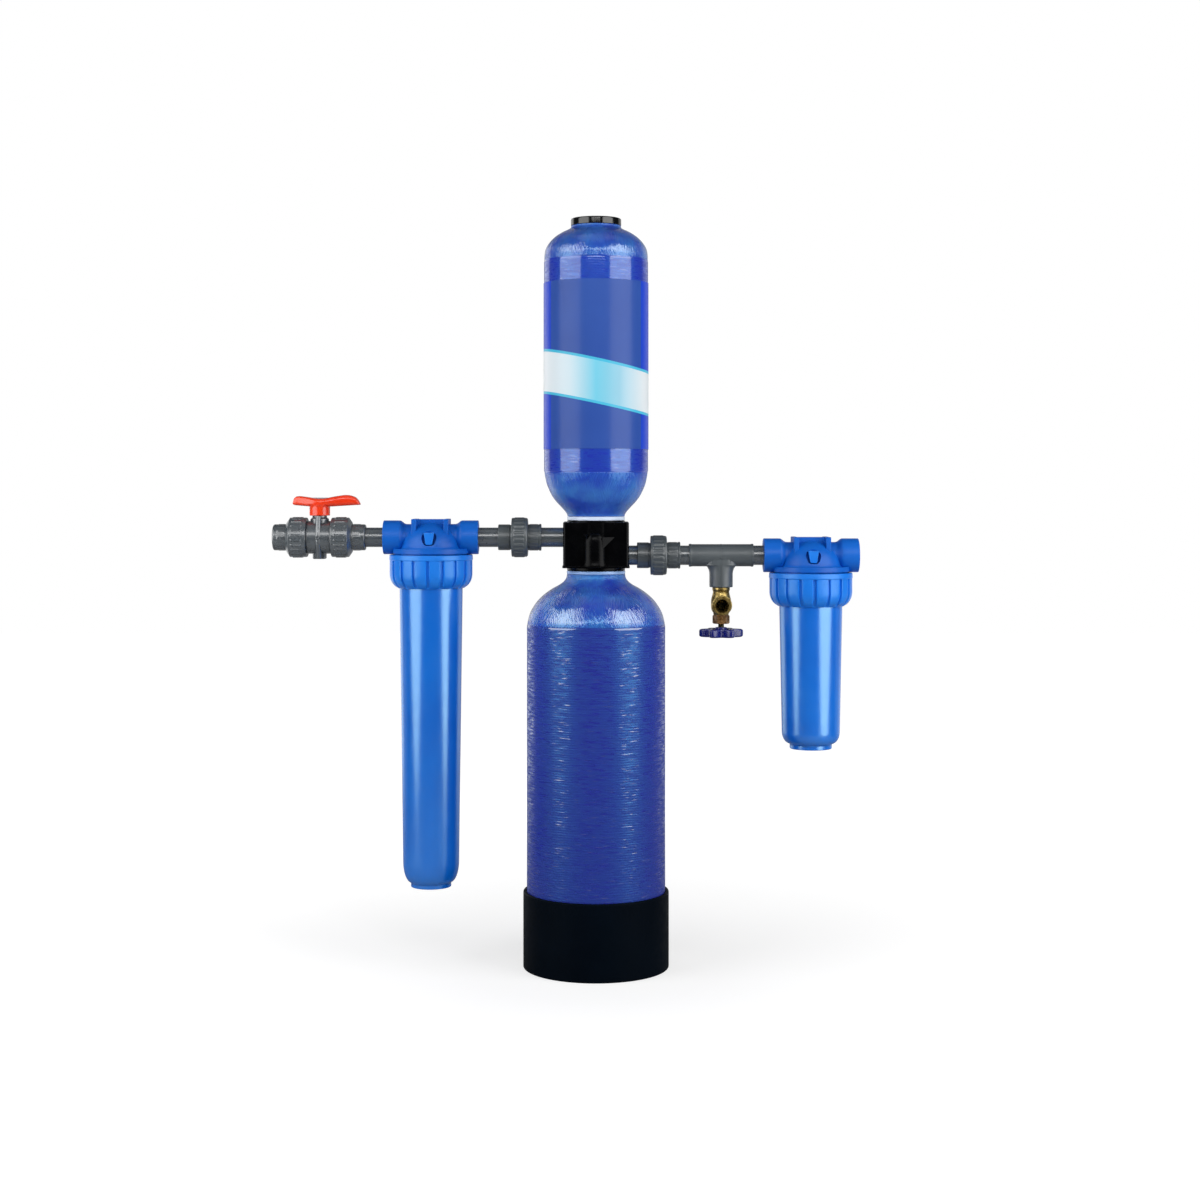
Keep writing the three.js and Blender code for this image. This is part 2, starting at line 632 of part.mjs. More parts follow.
function drainBodyPiece() {
  const body = turned([
    [0, drain.spigotLength], [drain.spigotRadius, drain.spigotLength], [drain.spigotRadius, 0],
    [drain.neckRadius, 0], [drain.neckRadius, drainBodyTop + drain.lowerLength],
    [drain.bodyRadius, drainBodyTop - drain.lowerLength],
    [drain.bodyRadius, drainBodyLow + drain.lowerLength],
    [drain.lowerRadius, drainBodyLow], [drain.lowerRadius, drainLow], [0, drainLow],
  ], sides.small);
  const spout = alongFront(rod(drain.outletRadius, 0, drain.outletReach, sides.small))
    .translate(0, 0, -drain.outletDrop);
  const bore = turned([
    [0, drainLow - fit.overrun], [drain.chamber, drainLow - fit.overrun], [drain.chamber, seatFace],
    [drain.seatBore, seatFace], [drain.seatBore, -drain.seatDepth], [drain.inlet, -drain.seatDepth],
    [drain.inlet, drain.spigotLength + fit.overrun], [0, drain.spigotLength + fit.overrun],
  ], sides.small);
  const outlet = alongFront(rod(drain.outletBore, 0, drain.outletReach + fit.overrun, sides.small))
    .translate(0, 0, -drain.outletDrop - (drain.outletRadius - drain.outletBore) / 2);
  return piece('drain_body', cut(joined(body, spout), bore, outlet), finish.brass);
}

function packingNutPiece() {
  const hexagon = rod(packingNut.radius, packingLow, packingTop, sides.hexagon);
  const spigot = rod(drain.chamber - fit.gap, packingTop, packingTop + packingNut.spigotLength, sides.small);
  const bore = rod(
    boreFor(drainStem.radius, sides.small), packingLow - fit.overrun,
    packingTop + packingNut.spigotLength + fit.overrun, sides.small,
  );
  return piece('drain_packing_nut', cut(joined(hexagon, spigot), bore), finish.brass);
}

const screwTop = wheelTop - wheel.hub + wheelScrew.depth;

function drainStemPiece() {
  const low = wheelTop - wheel.hub + fit.gap;
  const shape = turned([
    [0, low], [drainStem.radius, low], [drainStem.radius, stemHeadTop - drainStem.head],
    [drainStem.headRadius, stemHeadTop - drainStem.head], [drainStem.headRadius, stemHeadTop],
    [0, stemHeadTop],
  ], sides.small);
  const hole = rod(wheelScrew.shank + fit.gap, low - fit.overrun, screwTop + fit.gap, sides.ring);
  return piece('drain_stem', cut(shape, hole), finish.brass);
}

function wheelPiece() {
  const outline = Array.from({ length: wheel.outline }, (unused, i) => {
    const angle = (2 * Math.PI * i) / wheel.outline;
    const radius = wheel.radius + wheel.lobe * Math.cos(wheel.lobes * angle);
    return [radius * Math.cos(angle), radius * Math.sin(angle)];
  });
  const rimTop = wheelTop - wheel.rimDrop;
  const rimLow = rimTop - wheel.rim;
  const windows = Array.from({ length: wheel.lobes }, (unused, i) => {
    const angle = (2 * Math.PI * i) / wheel.lobes;
    return rod(wheel.window, rimLow - fit.overrun, rimTop + fit.overrun, sides.ring)
      .translate(wheel.windowCircle * Math.cos(angle), wheel.windowCircle * Math.sin(angle), 0);
  });
  const body = cut(plate(outline, rimLow, rimTop), ...windows);
  const hub = rod(wheel.hubRadius, wheelTop - wheel.hub, wheelTop, sides.small);
  const bore = rod(
    drainStem.radius + fit.gap, wheelTop - wheel.hub - fit.overrun, wheelTop + fit.overrun, sides.small,
  );
  return piece('drain_wheel', cut(joined(body, hub), bore), finish.wheelBlue);
}

function wheelScrewPiece() {
  const top = wheelTop - wheel.hub - fit.gap;
  const shape = turned([
    [0, top - wheelScrew.head], [wheelScrew.radius, top - wheelScrew.head], [wheelScrew.radius, top],
    [wheelScrew.shank, top], [wheelScrew.shank, screwTop], [0, screwTop],
  ], sides.ring);
  return piece('drain_wheel_screw', shape, finish.steel);
}

function drainPieces() {
  const disc = rod(washer.radius, washerLow, washerLow + washer.thickness, sides.small);
  return assembly(
    teeX, 0, rightLine - tee.branchReach - fit.gap,
    drainBodyPiece(), packingNutPiece(), piece('drain_washer', disc, finish.rubber), drainStemPiece(),
    wheelPiece(), wheelScrewPiece(),
  );
}

function valveBodyPiece() {
  const barrel = alongX(turned([
    [ballChamber, -valve.threadReach], [valve.threadRadius, -valve.threadReach],
    [valve.threadRadius, -valve.halfLength], [valve.radius, -valve.halfLength],
    [valve.radius, -valve.ribHalfWidth], [valve.ribRadius, -valve.ribHalfWidth],
    [valve.ribRadius, valve.ribHalfWidth], [valve.radius, valve.ribHalfWidth],
    [valve.radius, valve.halfLength], [valve.threadRadius, valve.halfLength],
    [valve.threadRadius, valve.threadReach], [ballChamber, valve.threadReach],
  ], sides.fitting));
  const neck = turned([
    [0, 0], [valve.neckFoot, 0], [valve.neckFoot, valve.neckRound],
    [valve.neckRadius, valve.neckTop - valve.nub], [valve.neckRadius, valve.neckTop], [0, valve.neckTop],
  ], sides.small);
  const boss = slab(
    -valve.bossHalfWidth, valve.bossHalfWidth, -valve.bossHalfDepth, valve.bossHalfDepth, -valve.bossDrop, 0,
  );
  const nub = alongFront(rod(valve.nub, 0, valve.ribRadius + valve.nubProud, sides.ring));
  const chamber = alongX(rod(ballChamber, -valve.halfLength, valve.halfLength, sides.fitting));
  const stemBore = rod(boreFor(stem.radius, sides.small), 0, valve.neckTop + fit.overrun, sides.small);
  const screwHole = rod(
    valve.bossHole, -valve.bossDrop - fit.overrun, valve.bossHoleDepth - valve.bossDrop, sides.ring,
  );
  const shape = cut(joined(barrel, neck, boss, nub), chamber, stemBore, screwHole);
  return piece('valve_body', shape, finish.pvc);
}

// The right end connector: its nose holds the seat against the ball.
function valveEndShape() {
  const noseLow = seat.reach + fit.gap;
  const collarLow = valve.threadReach + fit.gap;
  const collarHigh = collarLow + valveEnd.collar;
  const collarRadius = valve.threadRadius - fit.gap;
  const noseRadius = ballChamber - fit.gap;
  const socketFloor = valveEnd.reach - valveEnd.socket;
  return alongX(turned([
    [ball.bore, noseLow], [noseRadius, noseLow], [noseRadius, collarLow], [collarRadius, collarLow],
    [collarRadius, collarHigh], [valveEnd.radius, collarHigh],
    [valveEnd.radius, valveEnd.reach - valveEnd.edge], [valveEnd.radius - valveEnd.edge, valveEnd.reach],
    [pipeSocket, valveEnd.reach], [pipeSocket, socketFloor], [ball.bore, socketFloor],
  ], sides.fitting));
}

// The right seat: a ring whose inner side follows the ball.
function seatShape() {
  const clear = ballChamber;
  const outer = ballChamber - fit.gap;
  const from = THREE.MathUtils.radToDeg(Math.acos(seat.lip / clear));
  const to = THREE.MathUtils.radToDeg(Math.acos(ball.bore / clear));
  const face = arc(0, 0, clear, clear, from, to, bends.round);
  const [, faceLow] = face[0];
  return alongX(turned([
    ...face, [ball.bore, seat.reach], [outer, seat.reach], [outer, faceLow],
  ], sides.fitting));
}

function valveNutShape() {
  const low = valve.halfLength + fit.gap;
  const lipLow = valve.threadReach + fit.gap + valveEnd.collar + fit.gap;
  return nutShape(
    low, low + valveNut.length, valveNut.radius, valveNut.chamfer, valve.threadRadius, lipLow,
    valveEnd.radius,
  );
}

function ballPiece() {
  const sphere = new THREE.SphereGeometry(ball.radius, sides.ball, sides.ball / 2).rotateX(Math.PI / 2);
  const reach = ball.radius + fit.overrun;
  const bore = alongX(rod(ball.bore, -reach, reach, sides.fitting));
  const half = ball.slotWidth / 2;
  const slot = slab(-reach, reach, -half, half, ball.radius - ball.slotDepth, reach);
  return piece('valve_ball', cut(sphere, bore, slot), finish.pvc);
}

function stemPiece() {
  const shaft = rod(stem.radius, ball.radius, stem.top, sides.small);
  const half = ball.slotWidth / 2 - fit.gap;
  const tangLow = ball.radius - ball.slotDepth + fit.gap;
  const tang = slab(-stem.tangWidth / 2, stem.tangWidth / 2, -half, half, tangLow, ball.radius + fit.gap);
  return piece('valve_stem', joined(shaft, tang), finish.pvc);
}

// The handle's wing: its front outline and its top outline, each cut through the other.
function wingShape() {
  const { shortReach, longReach, wingBottom, waistTop, shortTop, longTop, hubRadius, roof } = handle;
  const front = plate([
    [-shortReach, wingBottom + roof], [-hubRadius, wingBottom], [hubRadius, wingBottom],
    [longReach, wingBottom + roof], [longReach - roof, longTop - roof],
    [longReach * handle.longPeakShare, longTop], [hubRadius, waistTop + roof / 2],
    [-hubRadius / 2, waistTop], [-shortReach * handle.shortPeakShare, shortTop],
    [-shortReach + roof, shortTop - roof / 2],
  ], -handle.rootHalfWidth, handle.rootHalfWidth).rotateX(Math.PI / 2);
  const top = plate([
    [-shortReach, -handle.tipHalfWidth], [-hubRadius, -handle.rootHalfWidth],
    [hubRadius, -handle.rootHalfWidth], [longReach, -handle.tipHalfWidth],
    [longReach, handle.tipHalfWidth], [hubRadius, handle.rootHalfWidth],
    [-hubRadius, handle.rootHalfWidth], [-shortReach, handle.tipHalfWidth],
  ], wingBottom - fit.overrun, longTop + fit.overrun);
  return shared(front, top);
}

function handlePiece() {
  const low = valve.neckTop + fit.gap;
  const hub = rod(handle.hubRadius, low, handle.hubTop, sides.fitting);
  const bore = rod(boreFor(stem.radius, sides.small), low - fit.overrun, stem.top + fit.gap, sides.small);
  return piece('valve_handle', cut(joined(hub, wingShape()), bore), finish.red);
}

function valvePieces() {
  const shapes = [
    ['end', valveEndShape, finish.pvc], ['seat', seatShape, finish.white], ['nut', valveNutShape, finish.pvc],
  ];
  const sidePieces = shapes.flatMap(([name, shape, material]) => [
    piece(`valve_${name}_right`, shape(), material),
    piece(`valve_${name}_left`, shape().rotateZ(Math.PI), material),
  ]);
  return assembly(
    valveX, 0, leftLine, valveBodyPiece(), ballPiece(), stemPiece(), handlePiece(), ...sidePieces,
  );
}

// Heights of a filter housing below its port axis.
const flangeLow = -head.domeFoot - head.flange;
const skirtLow = flangeLow - head.skirtLength;
const bowlTop = skirtLow - fit.gap;
const nutTop = flangeLow - fit.gap;
const nutLow = nutTop - ringNut.length;
const postLow = -head.chamberTop - head.post;
const cartridgeTop = postLow - fit.gap;
const buttonFront = headDome - button.inset;
const grooveRadius = (skirtBore + skirtRadius) / 2;

// A port of the head: the wide collar at its face, and the barrel that it tapers to.
function headPort() {
  const collarLow = head.portReach - head.portLength;
  return alongX(turned([
    [0, 0], [head.barrelRadius, 0], [head.barrelRadius, collarLow - head.portTaper],
    [head.portRadius, collarLow], [head.portRadius, head.portReach], [0, head.portReach],
  ], sides.fitting));
}

// The mounting boss: a cross web between two ribs, open in front and behind.
function headBoss() {
  const { bossHalfWidth, bossHalfDepth, bossTop, ribWidth, webHalfDepth } = head;
  const inner = bossHalfWidth - ribWidth;
  const rib = side => slab(
    Math.min(side * inner, side * bossHalfWidth), Math.max(side * inner, side * bossHalfWidth),
    -bossHalfDepth, bossHalfDepth, 0, bossTop,
  );
  const web = slab(-bossHalfWidth, bossHalfWidth, -webHalfDepth, webHalfDepth, 0, bossTop);
  return joined(rib(-1), rib(1), web);
}

function screwHoles() {
  const x = head.bossHalfWidth - head.ribWidth / 2;
  const y = head.bossHalfDepth - head.screwInset;
  const places = [[x, y], [x, -y], [-x, y], [-x, -y]];
  return places.map(([px, py]) => rod(
    head.screwHole, head.bossTop - head.screwDepth, head.bossTop + fit.overrun, sides.ring,
  ).translate(px, py, 0));
}

// The socket of a port, and the passage inwards from it to an end.
function portBore(side, end) {
  const shoulder = head.portReach - head.socket;
  const bore = alongX(turned([
    [0, end], [head.passage, end], [head.passage, shoulder], [pipeSocket, shoulder],
    [pipeSocket, head.portReach + fit.overrun], [0, head.portReach + fit.overrun],
  ], sides.fitting));
  return side < 0 ? bore.rotateZ(Math.PI) : bore;
}

// Water comes in on the left and falls into the ring-shaped chamber; it leaves through the middle.
function headHollows() {
  const dropX = (head.postRadius + chamberRadius) / 2;
  const chamber = turned([
    [head.postRadius, postLow], [head.postRadius, -head.chamberTop],
    [chamberRadius, -head.chamberTop], [chamberRadius, flangeLow], [skirtBore, flangeLow],
    [skirtBore, skirtLow - fit.overrun], [0, skirtLow - fit.overrun], [0, postLow],
  ], sides.housing);
  return [
    chamber, portBore(-1, dropX), portBore(1, 0),
    rod(head.drop, -head.chamberTop - fit.overrun, 0, sides.small).translate(-dropX, 0, 0),
    rod(head.passage, postLow - fit.overrun, 0, sides.small),
  ];
}

// The button's outline, grown by a margin, with its corners cut off.
function buttonOutline(halfWidth, halfHeight) {
  const corner = button.corner;
  return [
    [corner - halfWidth, -halfHeight], [halfWidth - corner, -halfHeight], [halfWidth, corner - halfHeight],
    [halfWidth, halfHeight - corner], [halfWidth - corner, halfHeight], [corner - halfWidth, halfHeight],
    [-halfWidth, halfHeight - corner], [-halfWidth, corner - halfHeight],
  ];
}

function buttonHollows() {
  const back = buttonFront - button.length - button.travel - fit.gap;
  const far = headDome + fit.overrun;
  const grown = buttonOutline(button.halfWidth + fit.gap, button.halfHeight + fit.gap);
  const pocket = plate(grown, back, far);
  const recess = plate(
    buttonOutline(button.recessHalfWidth, button.recessHalfHeight), buttonFront - button.recessDepth, far,
  );
  const vent = rod(button.vent, 0, back + fit.overrun, sides.ring);
  return [pocket, recess, vent].map(shape => alongFront(shape).translate(0, 0, -button.below));
}

function headShape() {
  const dome = turned([
    [0, flangeLow], [headFlange, flangeLow], [headFlange, -head.domeFoot],
    ...arc(0, -head.domeFoot, headDome, head.domeRise, 0, 90, bends.outside),
  ], sides.housing);
  const skirt = rod(skirtRadius, skirtLow, flangeLow + fit.overrun, sides.housing);
  const body = joined(dome, skirt, headPort(), headPort().rotateZ(Math.PI), headBoss());
  return cut(body, ...headHollows(), ...buttonHollows(), ...screwHoles());
}

// The rounded lower side of the ring nut, standing proud of its body.
function nutSide(proud) {
  return arc(
    nutBottom, nutLow + ringNut.roundHeight, nutBody + proud - nutBottom, ringNut.roundHeight,
    -60, 0, bends.round,
  );
}

// A grip rib of the ring nut, standing on X, before it is turned round to its place.
function nutRib() {
  const half = ringNut.ribWidth / 2;
  const inner = nutBottom - half;
  const rib = plate([
    [inner, nutLow], [nutBottom, nutLow], ...nutSide(ringNut.ribProud),
    [nutBody + ringNut.ribProud, nutTop - ringNut.rim], [inner, nutTop - ringNut.rim],
  ], -half, half);
  return rib.rotateX(Math.PI / 2);
}

function ringNutShape() {
  const lipBore = boreFor(bowlRadius, sides.housing);
  const lipTop = nutLow + ringNut.lip;
  const rimRadius = nutBody + ringNut.rimProud;
  const body = turned([
    [lipBore, nutLow], [nutBottom, nutLow], ...nutSide(0), [nutBody, nutTop - ringNut.rim],
    [rimRadius, nutTop - ringNut.rim], [rimRadius, nutTop], [nutBore, nutTop], [nutBore, lipTop],
    [lipBore, lipTop],
  ], sides.housing);
  const ribs = Array.from({ length: ringNut.ribs }, (unused, i) => (
    nutRib().rotateZ((2 * Math.PI * (i + 0.5)) / ringNut.ribs)
  ));
  return cut(joined(body, ...ribs), rod(nutBore, lipTop, nutTop + fit.overrun, sides.housing));
}

// The bowl hangs by its flange, tapers down to a rounded end on a foot, and seats the cartridge.
function bowlShape(size) {
  const cartridgeLow = cartridgeTop - size.cartridge;
  const seatTop = cartridgeLow - fit.gap;
  const floor = seatTop - size.seat;
  const foot = floor - bowl.floor;
  const lowZ = foot + size.footHeight + size.roundHeight;
  const flangeBottom = bowlTop - bowl.flange;
  const grooveFloor = bowlTop - bowl.grooveDepth;
  const grooveInner = grooveRadius - bowl.grooveWidth / 2;
  const grooveOuter = grooveRadius + bowl.grooveWidth / 2;
  const lowRadius = bowlRadius - size.taper;
  const footRadius = lowRadius - size.roundWidth;
  const innerFoot = footRadius - bowl.footInset;
  const outside = arc(
    footRadius, lowZ, size.roundWidth, size.roundHeight, -90, 0, bends.inside,
  );
  const inside = arc(
    innerFoot, lowZ, lowRadius - bowl.wall - innerFoot, lowZ - floor, 0, -90, bends.inside,
  );
  return turned([
    [0, foot], [footRadius, foot], ...outside, [bowlRadius, flangeBottom],
    [bowlFlange, flangeBottom], [bowlFlange, bowlTop], [grooveOuter, bowlTop],
    [grooveOuter, grooveFloor], [grooveInner, grooveFloor], [grooveInner, bowlTop],
    [bowlRadius - bowl.wall, bowlTop], ...inside, [bowl.seatRadius, floor], [bowl.seatRadius, seatTop],
    [0, seatTop],
  ], sides.housing);
}

function cartridgePieces(name, size) {
  const low = cartridgeTop - size.cartridge;
  const { radius, coreRadius, coreBore, endCap, capInset } = cartridge;
  const capRadius = radius - capInset;
  const core = turned([
    [coreBore, low], [capRadius, low], [capRadius, low + endCap], [coreRadius, low + endCap],
    [coreRadius, cartridgeTop - endCap], [capRadius, cartridgeTop - endCap], [capRadius, cartridgeTop],
    [coreBore, cartridgeTop],
  ], sides.fitting);
  const media = tube(
    coreRadius + fit.gap, radius, low + endCap + fit.gap, cartridgeTop - endCap - fit.gap, sides.fitting,
  );
  return [
    piece(`${name}_cartridge_core`, core, finish.white),
    piece(`${name}_cartridge_media`, media, finish.white),
  ];
}

function housingPieces(name, x, z, size) {
  const section = (bowl.grooveDepth - fit.gap) / 2;
  const seal = turned(
    arc(grooveRadius, bowlTop - bowl.grooveDepth + fit.gap + section, section, section, 0, ringEnd,
      sides.ring - 1),
    sides.housing,
  );
  const press = alongFront(plate(
    buttonOutline(button.halfWidth, button.halfHeight), buttonFront - button.length, buttonFront,
  )).translate(0, 0, -button.below);
  return assembly(
    x, 0, z,
    piece(`${name}_head`, headShape(), finish.headBlue),
    piece(`${name}_button`, press, finish.headBlue),
    piece(`${name}_ring_nut`, ringNutShape(), finish.nutBlue),
    piece(`${name}_bowl`, bowlShape(size), finish.bowlBlue),
    piece(`${name}_o_ring`, seal, finish.rubber),
    ...cartridgePieces(name, size),
  );
}

function leftPipes() {
  return assembly(
    0, 0, leftLine,
    pipePiece('pipe_valve_to_prefilter', valveX + valveEnd.reach, valveEnd.socket,
      prefilterX - head.portReach, head.socket),
    pipePiece('pipe_prefilter_to_union', prefilterX + head.portReach, head.socket,
      leftUnionX - union.halfLength, union.socket),
    pipePiece('pipe_union_to_manifold', leftUnionX + union.halfLength, union.socket,
      -manifold.halfWidth, manifold.portDepth),
  );
}

function rightPipes() {
  return assembly(
    0, 0, rightLine,
    pipePiece('pipe_manifold_to_union', manifold.halfWidth, manifold.portDepth,
      rightUnionX - union.halfLength, union.socket),
    pipePiece('pipe_union_to_tee', rightUnionX + union.halfLength, union.socket,
      teeX - tee.halfLength, tee.socket),
    pipePiece('pipe_tee_to_postfilter', teeX + tee.halfLength, tee.socket,
      postfilterX - head.portReach, head.socket),
  );
}

const waterFilter = new THREE.Group();
waterFilter.name = 'whole_house_water_filter';
waterFilter.add(
  bootPiece(), lowerTankPiece(), ...lowerBedPieces(), ...gasketPieces(), manifoldPiece(),
  upperTankPiece(), ...upperBedPieces(), capPiece(), labelPiece(),
  valvePieces(), leftPipes(), unionPieces('left_union', leftUnionX, leftLine),
  housingPieces('prefilter', prefilterX, leftLine, longBowl),
  rightPipes(), unionPieces('right_union', rightUnionX, rightLine), teePiece(), drainPieces(),
  housingPieces('postfilter', postfilterX, rightLine, shortBowl),
);

export default waterFilter;
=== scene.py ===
"""Looks of the whole house water filter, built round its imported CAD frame.

Shapes are worked out in millimetres, in the frame's own axes, and become metres when a piece is made.
An outline is a list of points, across and up. A point's third value rounds that corner, from that far away.
"""
import json
import math
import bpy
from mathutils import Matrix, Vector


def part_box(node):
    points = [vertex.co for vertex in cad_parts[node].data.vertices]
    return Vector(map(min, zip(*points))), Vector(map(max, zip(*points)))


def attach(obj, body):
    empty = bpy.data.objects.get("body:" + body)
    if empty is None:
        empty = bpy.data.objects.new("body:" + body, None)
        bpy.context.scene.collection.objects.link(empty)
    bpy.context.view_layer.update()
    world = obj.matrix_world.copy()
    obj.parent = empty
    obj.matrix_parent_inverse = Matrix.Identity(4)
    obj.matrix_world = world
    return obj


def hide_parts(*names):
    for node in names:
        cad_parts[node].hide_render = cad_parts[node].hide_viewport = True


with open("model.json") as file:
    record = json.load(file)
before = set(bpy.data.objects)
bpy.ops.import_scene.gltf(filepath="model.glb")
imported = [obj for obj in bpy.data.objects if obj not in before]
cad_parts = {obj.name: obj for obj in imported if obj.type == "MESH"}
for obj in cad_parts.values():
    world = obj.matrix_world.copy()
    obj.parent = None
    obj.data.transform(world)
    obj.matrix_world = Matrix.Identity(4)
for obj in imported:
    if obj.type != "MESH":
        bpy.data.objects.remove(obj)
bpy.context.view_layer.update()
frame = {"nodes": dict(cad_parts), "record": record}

from types import SimpleNamespace as Sizes

import bmesh
import bpy
import numpy as np
from mathutils import Matrix, Vector

MM = 0.001
X, Y, Z = range(3)
BODY_OF = {node: body for body, nodes in frame["record"]["behaviour"]["bodies"].items() for node in nodes}

# Flat sides round a turned piece, steps round one soft corner, along a dome or over an eased edge, and the
# most of an outline's side that one soft corner may take.
ROUND = Sizes(tank=160, housing=120, fitting=72, small=40, corner=4, dome=26, edge=3, most_share=0.48)
# Gap between pieces that touch, how far a cutter overruns, how deep a shape starts inside another, how near
# the axis a point counts as on it, and how far inside a surface its relief starts.
FIT = Sizes(gap=0.3, overrun=2, sunk=1, axis=0.01, skin=0.1)
# Angles above which an edge stays sharp, or is rounded over, in degrees.
SHARP = Sizes(shading=32, key=30, bevel=35, button=60)


def span(node, axis):
    """The lowest and highest place of a CAD node along an axis."""
    low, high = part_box(node)
    return low[axis] / MM, high[axis] / MM


def middle(node, axis):
    low, high = span(node, axis)
    return (low + high) / 2


# Sizes of the tank stack.
BOOT = Sizes(radius=110.5, wall=5.2, edge=2.4, rim=1.2, floor=4, seat=68)
LOWER = Sizes(radius=105, wall=4, straight=445, foot_dome=62, dome=76, collar=44.3, spigot=31, bore=24,
              bore_low=68, wound_over=4.5)
UPPER = Sizes(radius=79, wall=3.5, straight=321, foot_dome=80, dome=48, collar=43.5, spigot=31, bore=24,
              bore_high=70, neck=38, neck_bore=26, neck_low=40, neck_flare=6, neck_height=4.5,
              wound_over=-7.2, wound_under=6.5)
WINDING = Sizes(step=0.45, step_height=2.5, start=3, flare=15, flare_end=1.5, edge=0.8, margin=30, row=60,
                collar_edge=1, waves=(11, 9), drift=(7, 5), fade=12)
GASKET = Sizes(bore=31.3, edge=1.4, lower=44.4, upper=43.8)
CAP = Sizes(radius=38.2, edge=2.6, foot=0.6, dish=1.2, dish_radius=31, dish_edge=1.5, dish_slope=2,
            dish_foot=1, plug=25.7, plug_depth=14)
LABEL = Sizes(radius=79.3, thickness=0.4, band_low=852, band_high=920, slant=17, line=4, front_share=0.85)
# The winding under the resin: its strokes and their lean, the hoops' pitch, and the relief's height.
STRAND = Sizes(pitch=2.2, length=15, lean=22, stroke=6.0, hoop=3.6, height=0.16)
# The resin: how far its crown starts below and ends above the hoops' end, and how fast two zones change.
RESIN = Sizes(below=4, above=12, blend=2, neck=8)

MANIFOLD = Sizes(half_width=49.5, half_depth=42, corner=5, lip=44, lip_edge=1.2, bottom_lip=4.5, top_lip=2,
                 flange=3.5, flange_proud=1.2, flange_edge=0.8, edge=1.4, chamber=31.3, chamber_depth=10,
                 port_depth=14)
BOSS = Sizes(radius=15.2, offset=-1.7, flat_share=0.55, top=54, foot=9, foot_height=13)
# The webs beside the boss: how far each reaches from its middle, its top and foot, how proud it stands.
WEB = Sizes(right=(29.7, 46.5, 28.7), left=(-17.7, 51.2, 43.4), proud=7.5, foot_share=0.7, side_share=0.75)

# Sizes of the pipe fittings. The bars of a grip or panel are listed in a table of their own.
PIPE = Sizes(radius=14.8, bore=12, edge=0.6)
SOCKET_BORE = PIPE.radius + FIT.gap
NUT = Sizes(foot_edge=1.0, foot_in=0.2, start=1.2, start_share=0.3, stop=0.4, stop_share=0.6, row=0.8,
            crown_edge=1.5, mouth_edge=1.6, sides=14)
UNION = Sizes(hub=19.6, half=32.7, socket=19, nut=29.6, nut_half=12.3, thread=23, thread_high=2,
              collar_from=2.3, collar=3.7, edge=1.2, neck=0.7, neck_low=3, neck_high=2.4, neck_edge=0.8,
              panel_low=2, panel_high=4.5, rows_low=1, rows_high=4, rim=0.7, rim_low=3.4, rim_high=3,
              rim_edge=0.8, chamfer=2.2, slope=0.62, sides=160)
UNION_GRIP = Sizes(count=24, width=4.6, rise=0.8, inset=3.2, fade=2.0)
UNION_PANEL = Sizes(count=16, width=4.6, rise=0.5, fade=0.8)
TEE = Sizes(half=49, radius=16.9, collar=17.4, collar_length=3.4, collar_edge=0.5, collar_slope=1,
            branch=17.75, branch_depth_share=0.94, reach=48.3, flare=8.5, flare_height=14, flare_sunk=2,
            flare_foot=6, edge=1.2, socket=20, drain_socket=11, drain_bore=11.6, seam=0.35, seam_end=3)
VALVE = Sizes(radius=25, half=18.4, shoulder=0.8, shoulder_length=1.5, thread=23, thread_half=34, neck=14,
              neck_low=12, neck_foot=17.5, neck_foot_high=19, neck_foot_edge=5, neck_shoulder=28.4,
              neck_edge=1.8, neck_step=1.6, neck_tip=11, neck_tip_edge=1, neck_top=32.7, boss_half=9.5,
              boss_depth=9, boss_drop=32.8, boss_top=12, boss_edge=1.6, hole=4, hole_depth=9, nub=3.2,
              nub_proud=0.9, nub_edge=0.6, nub_dimple=1.5, dimple_edge=0.4, bore=9.5, ridge=4.4)
# The valve's round ridge, from the boss up to the neck: height, and how far its crest stands from the axis.
RIDGE = [(-31.9, 15.2), (-24, 18.8), (-16, 22.4), (-8, 25.2), (0, 26.3), (8, 25.4), (16, 23.0), (24, 20.4),
         (32.4, 18.0)]
VALVE_NUT = Sizes(radius=30, low=18.7, length=31, chamfer=5.2, slope=1.42)
VALVE_GRIP = Sizes(count=24, width=2.3, rise=1.0, inset=5.6, fade=1.4)
VALVE_END = Sizes(radius=19.75, reach=70, tail=34.6, low=38.6, socket=21, edge=2.6, mouth=0.4,
                  mouth_edge=0.3, rows_low=50.5, rows_high=4, row=0.9, panel_low=51, panel_high=4.5,
                  sides=144)
VALVE_PANEL = Sizes(count=12, width=6.2, rise=0.45, fade=1.0)
HANDLE = Sizes(hub=15.6, hub_low=33, hub_waist=46, hub_waist_edge=2, hub_flare=1.4, hub_top=50, edge=1.2,
               bore=12.4, bore_depth=4, recess_half=27, recess_width=7.6, recess_side=8, recess_edge=9,
               recess_tip=6, recess_deep=5, recess_top=70, insert_top=59.4, key_rise=0.9, key_gap=0.2,
               key_edge=0.7)
# What is left of the key's recess for the key itself, and how square the wing's section is.
KEY_SHARES = (0.96, 0.94, 1)
SQUARE_SHARES = (0.55, 0.75)
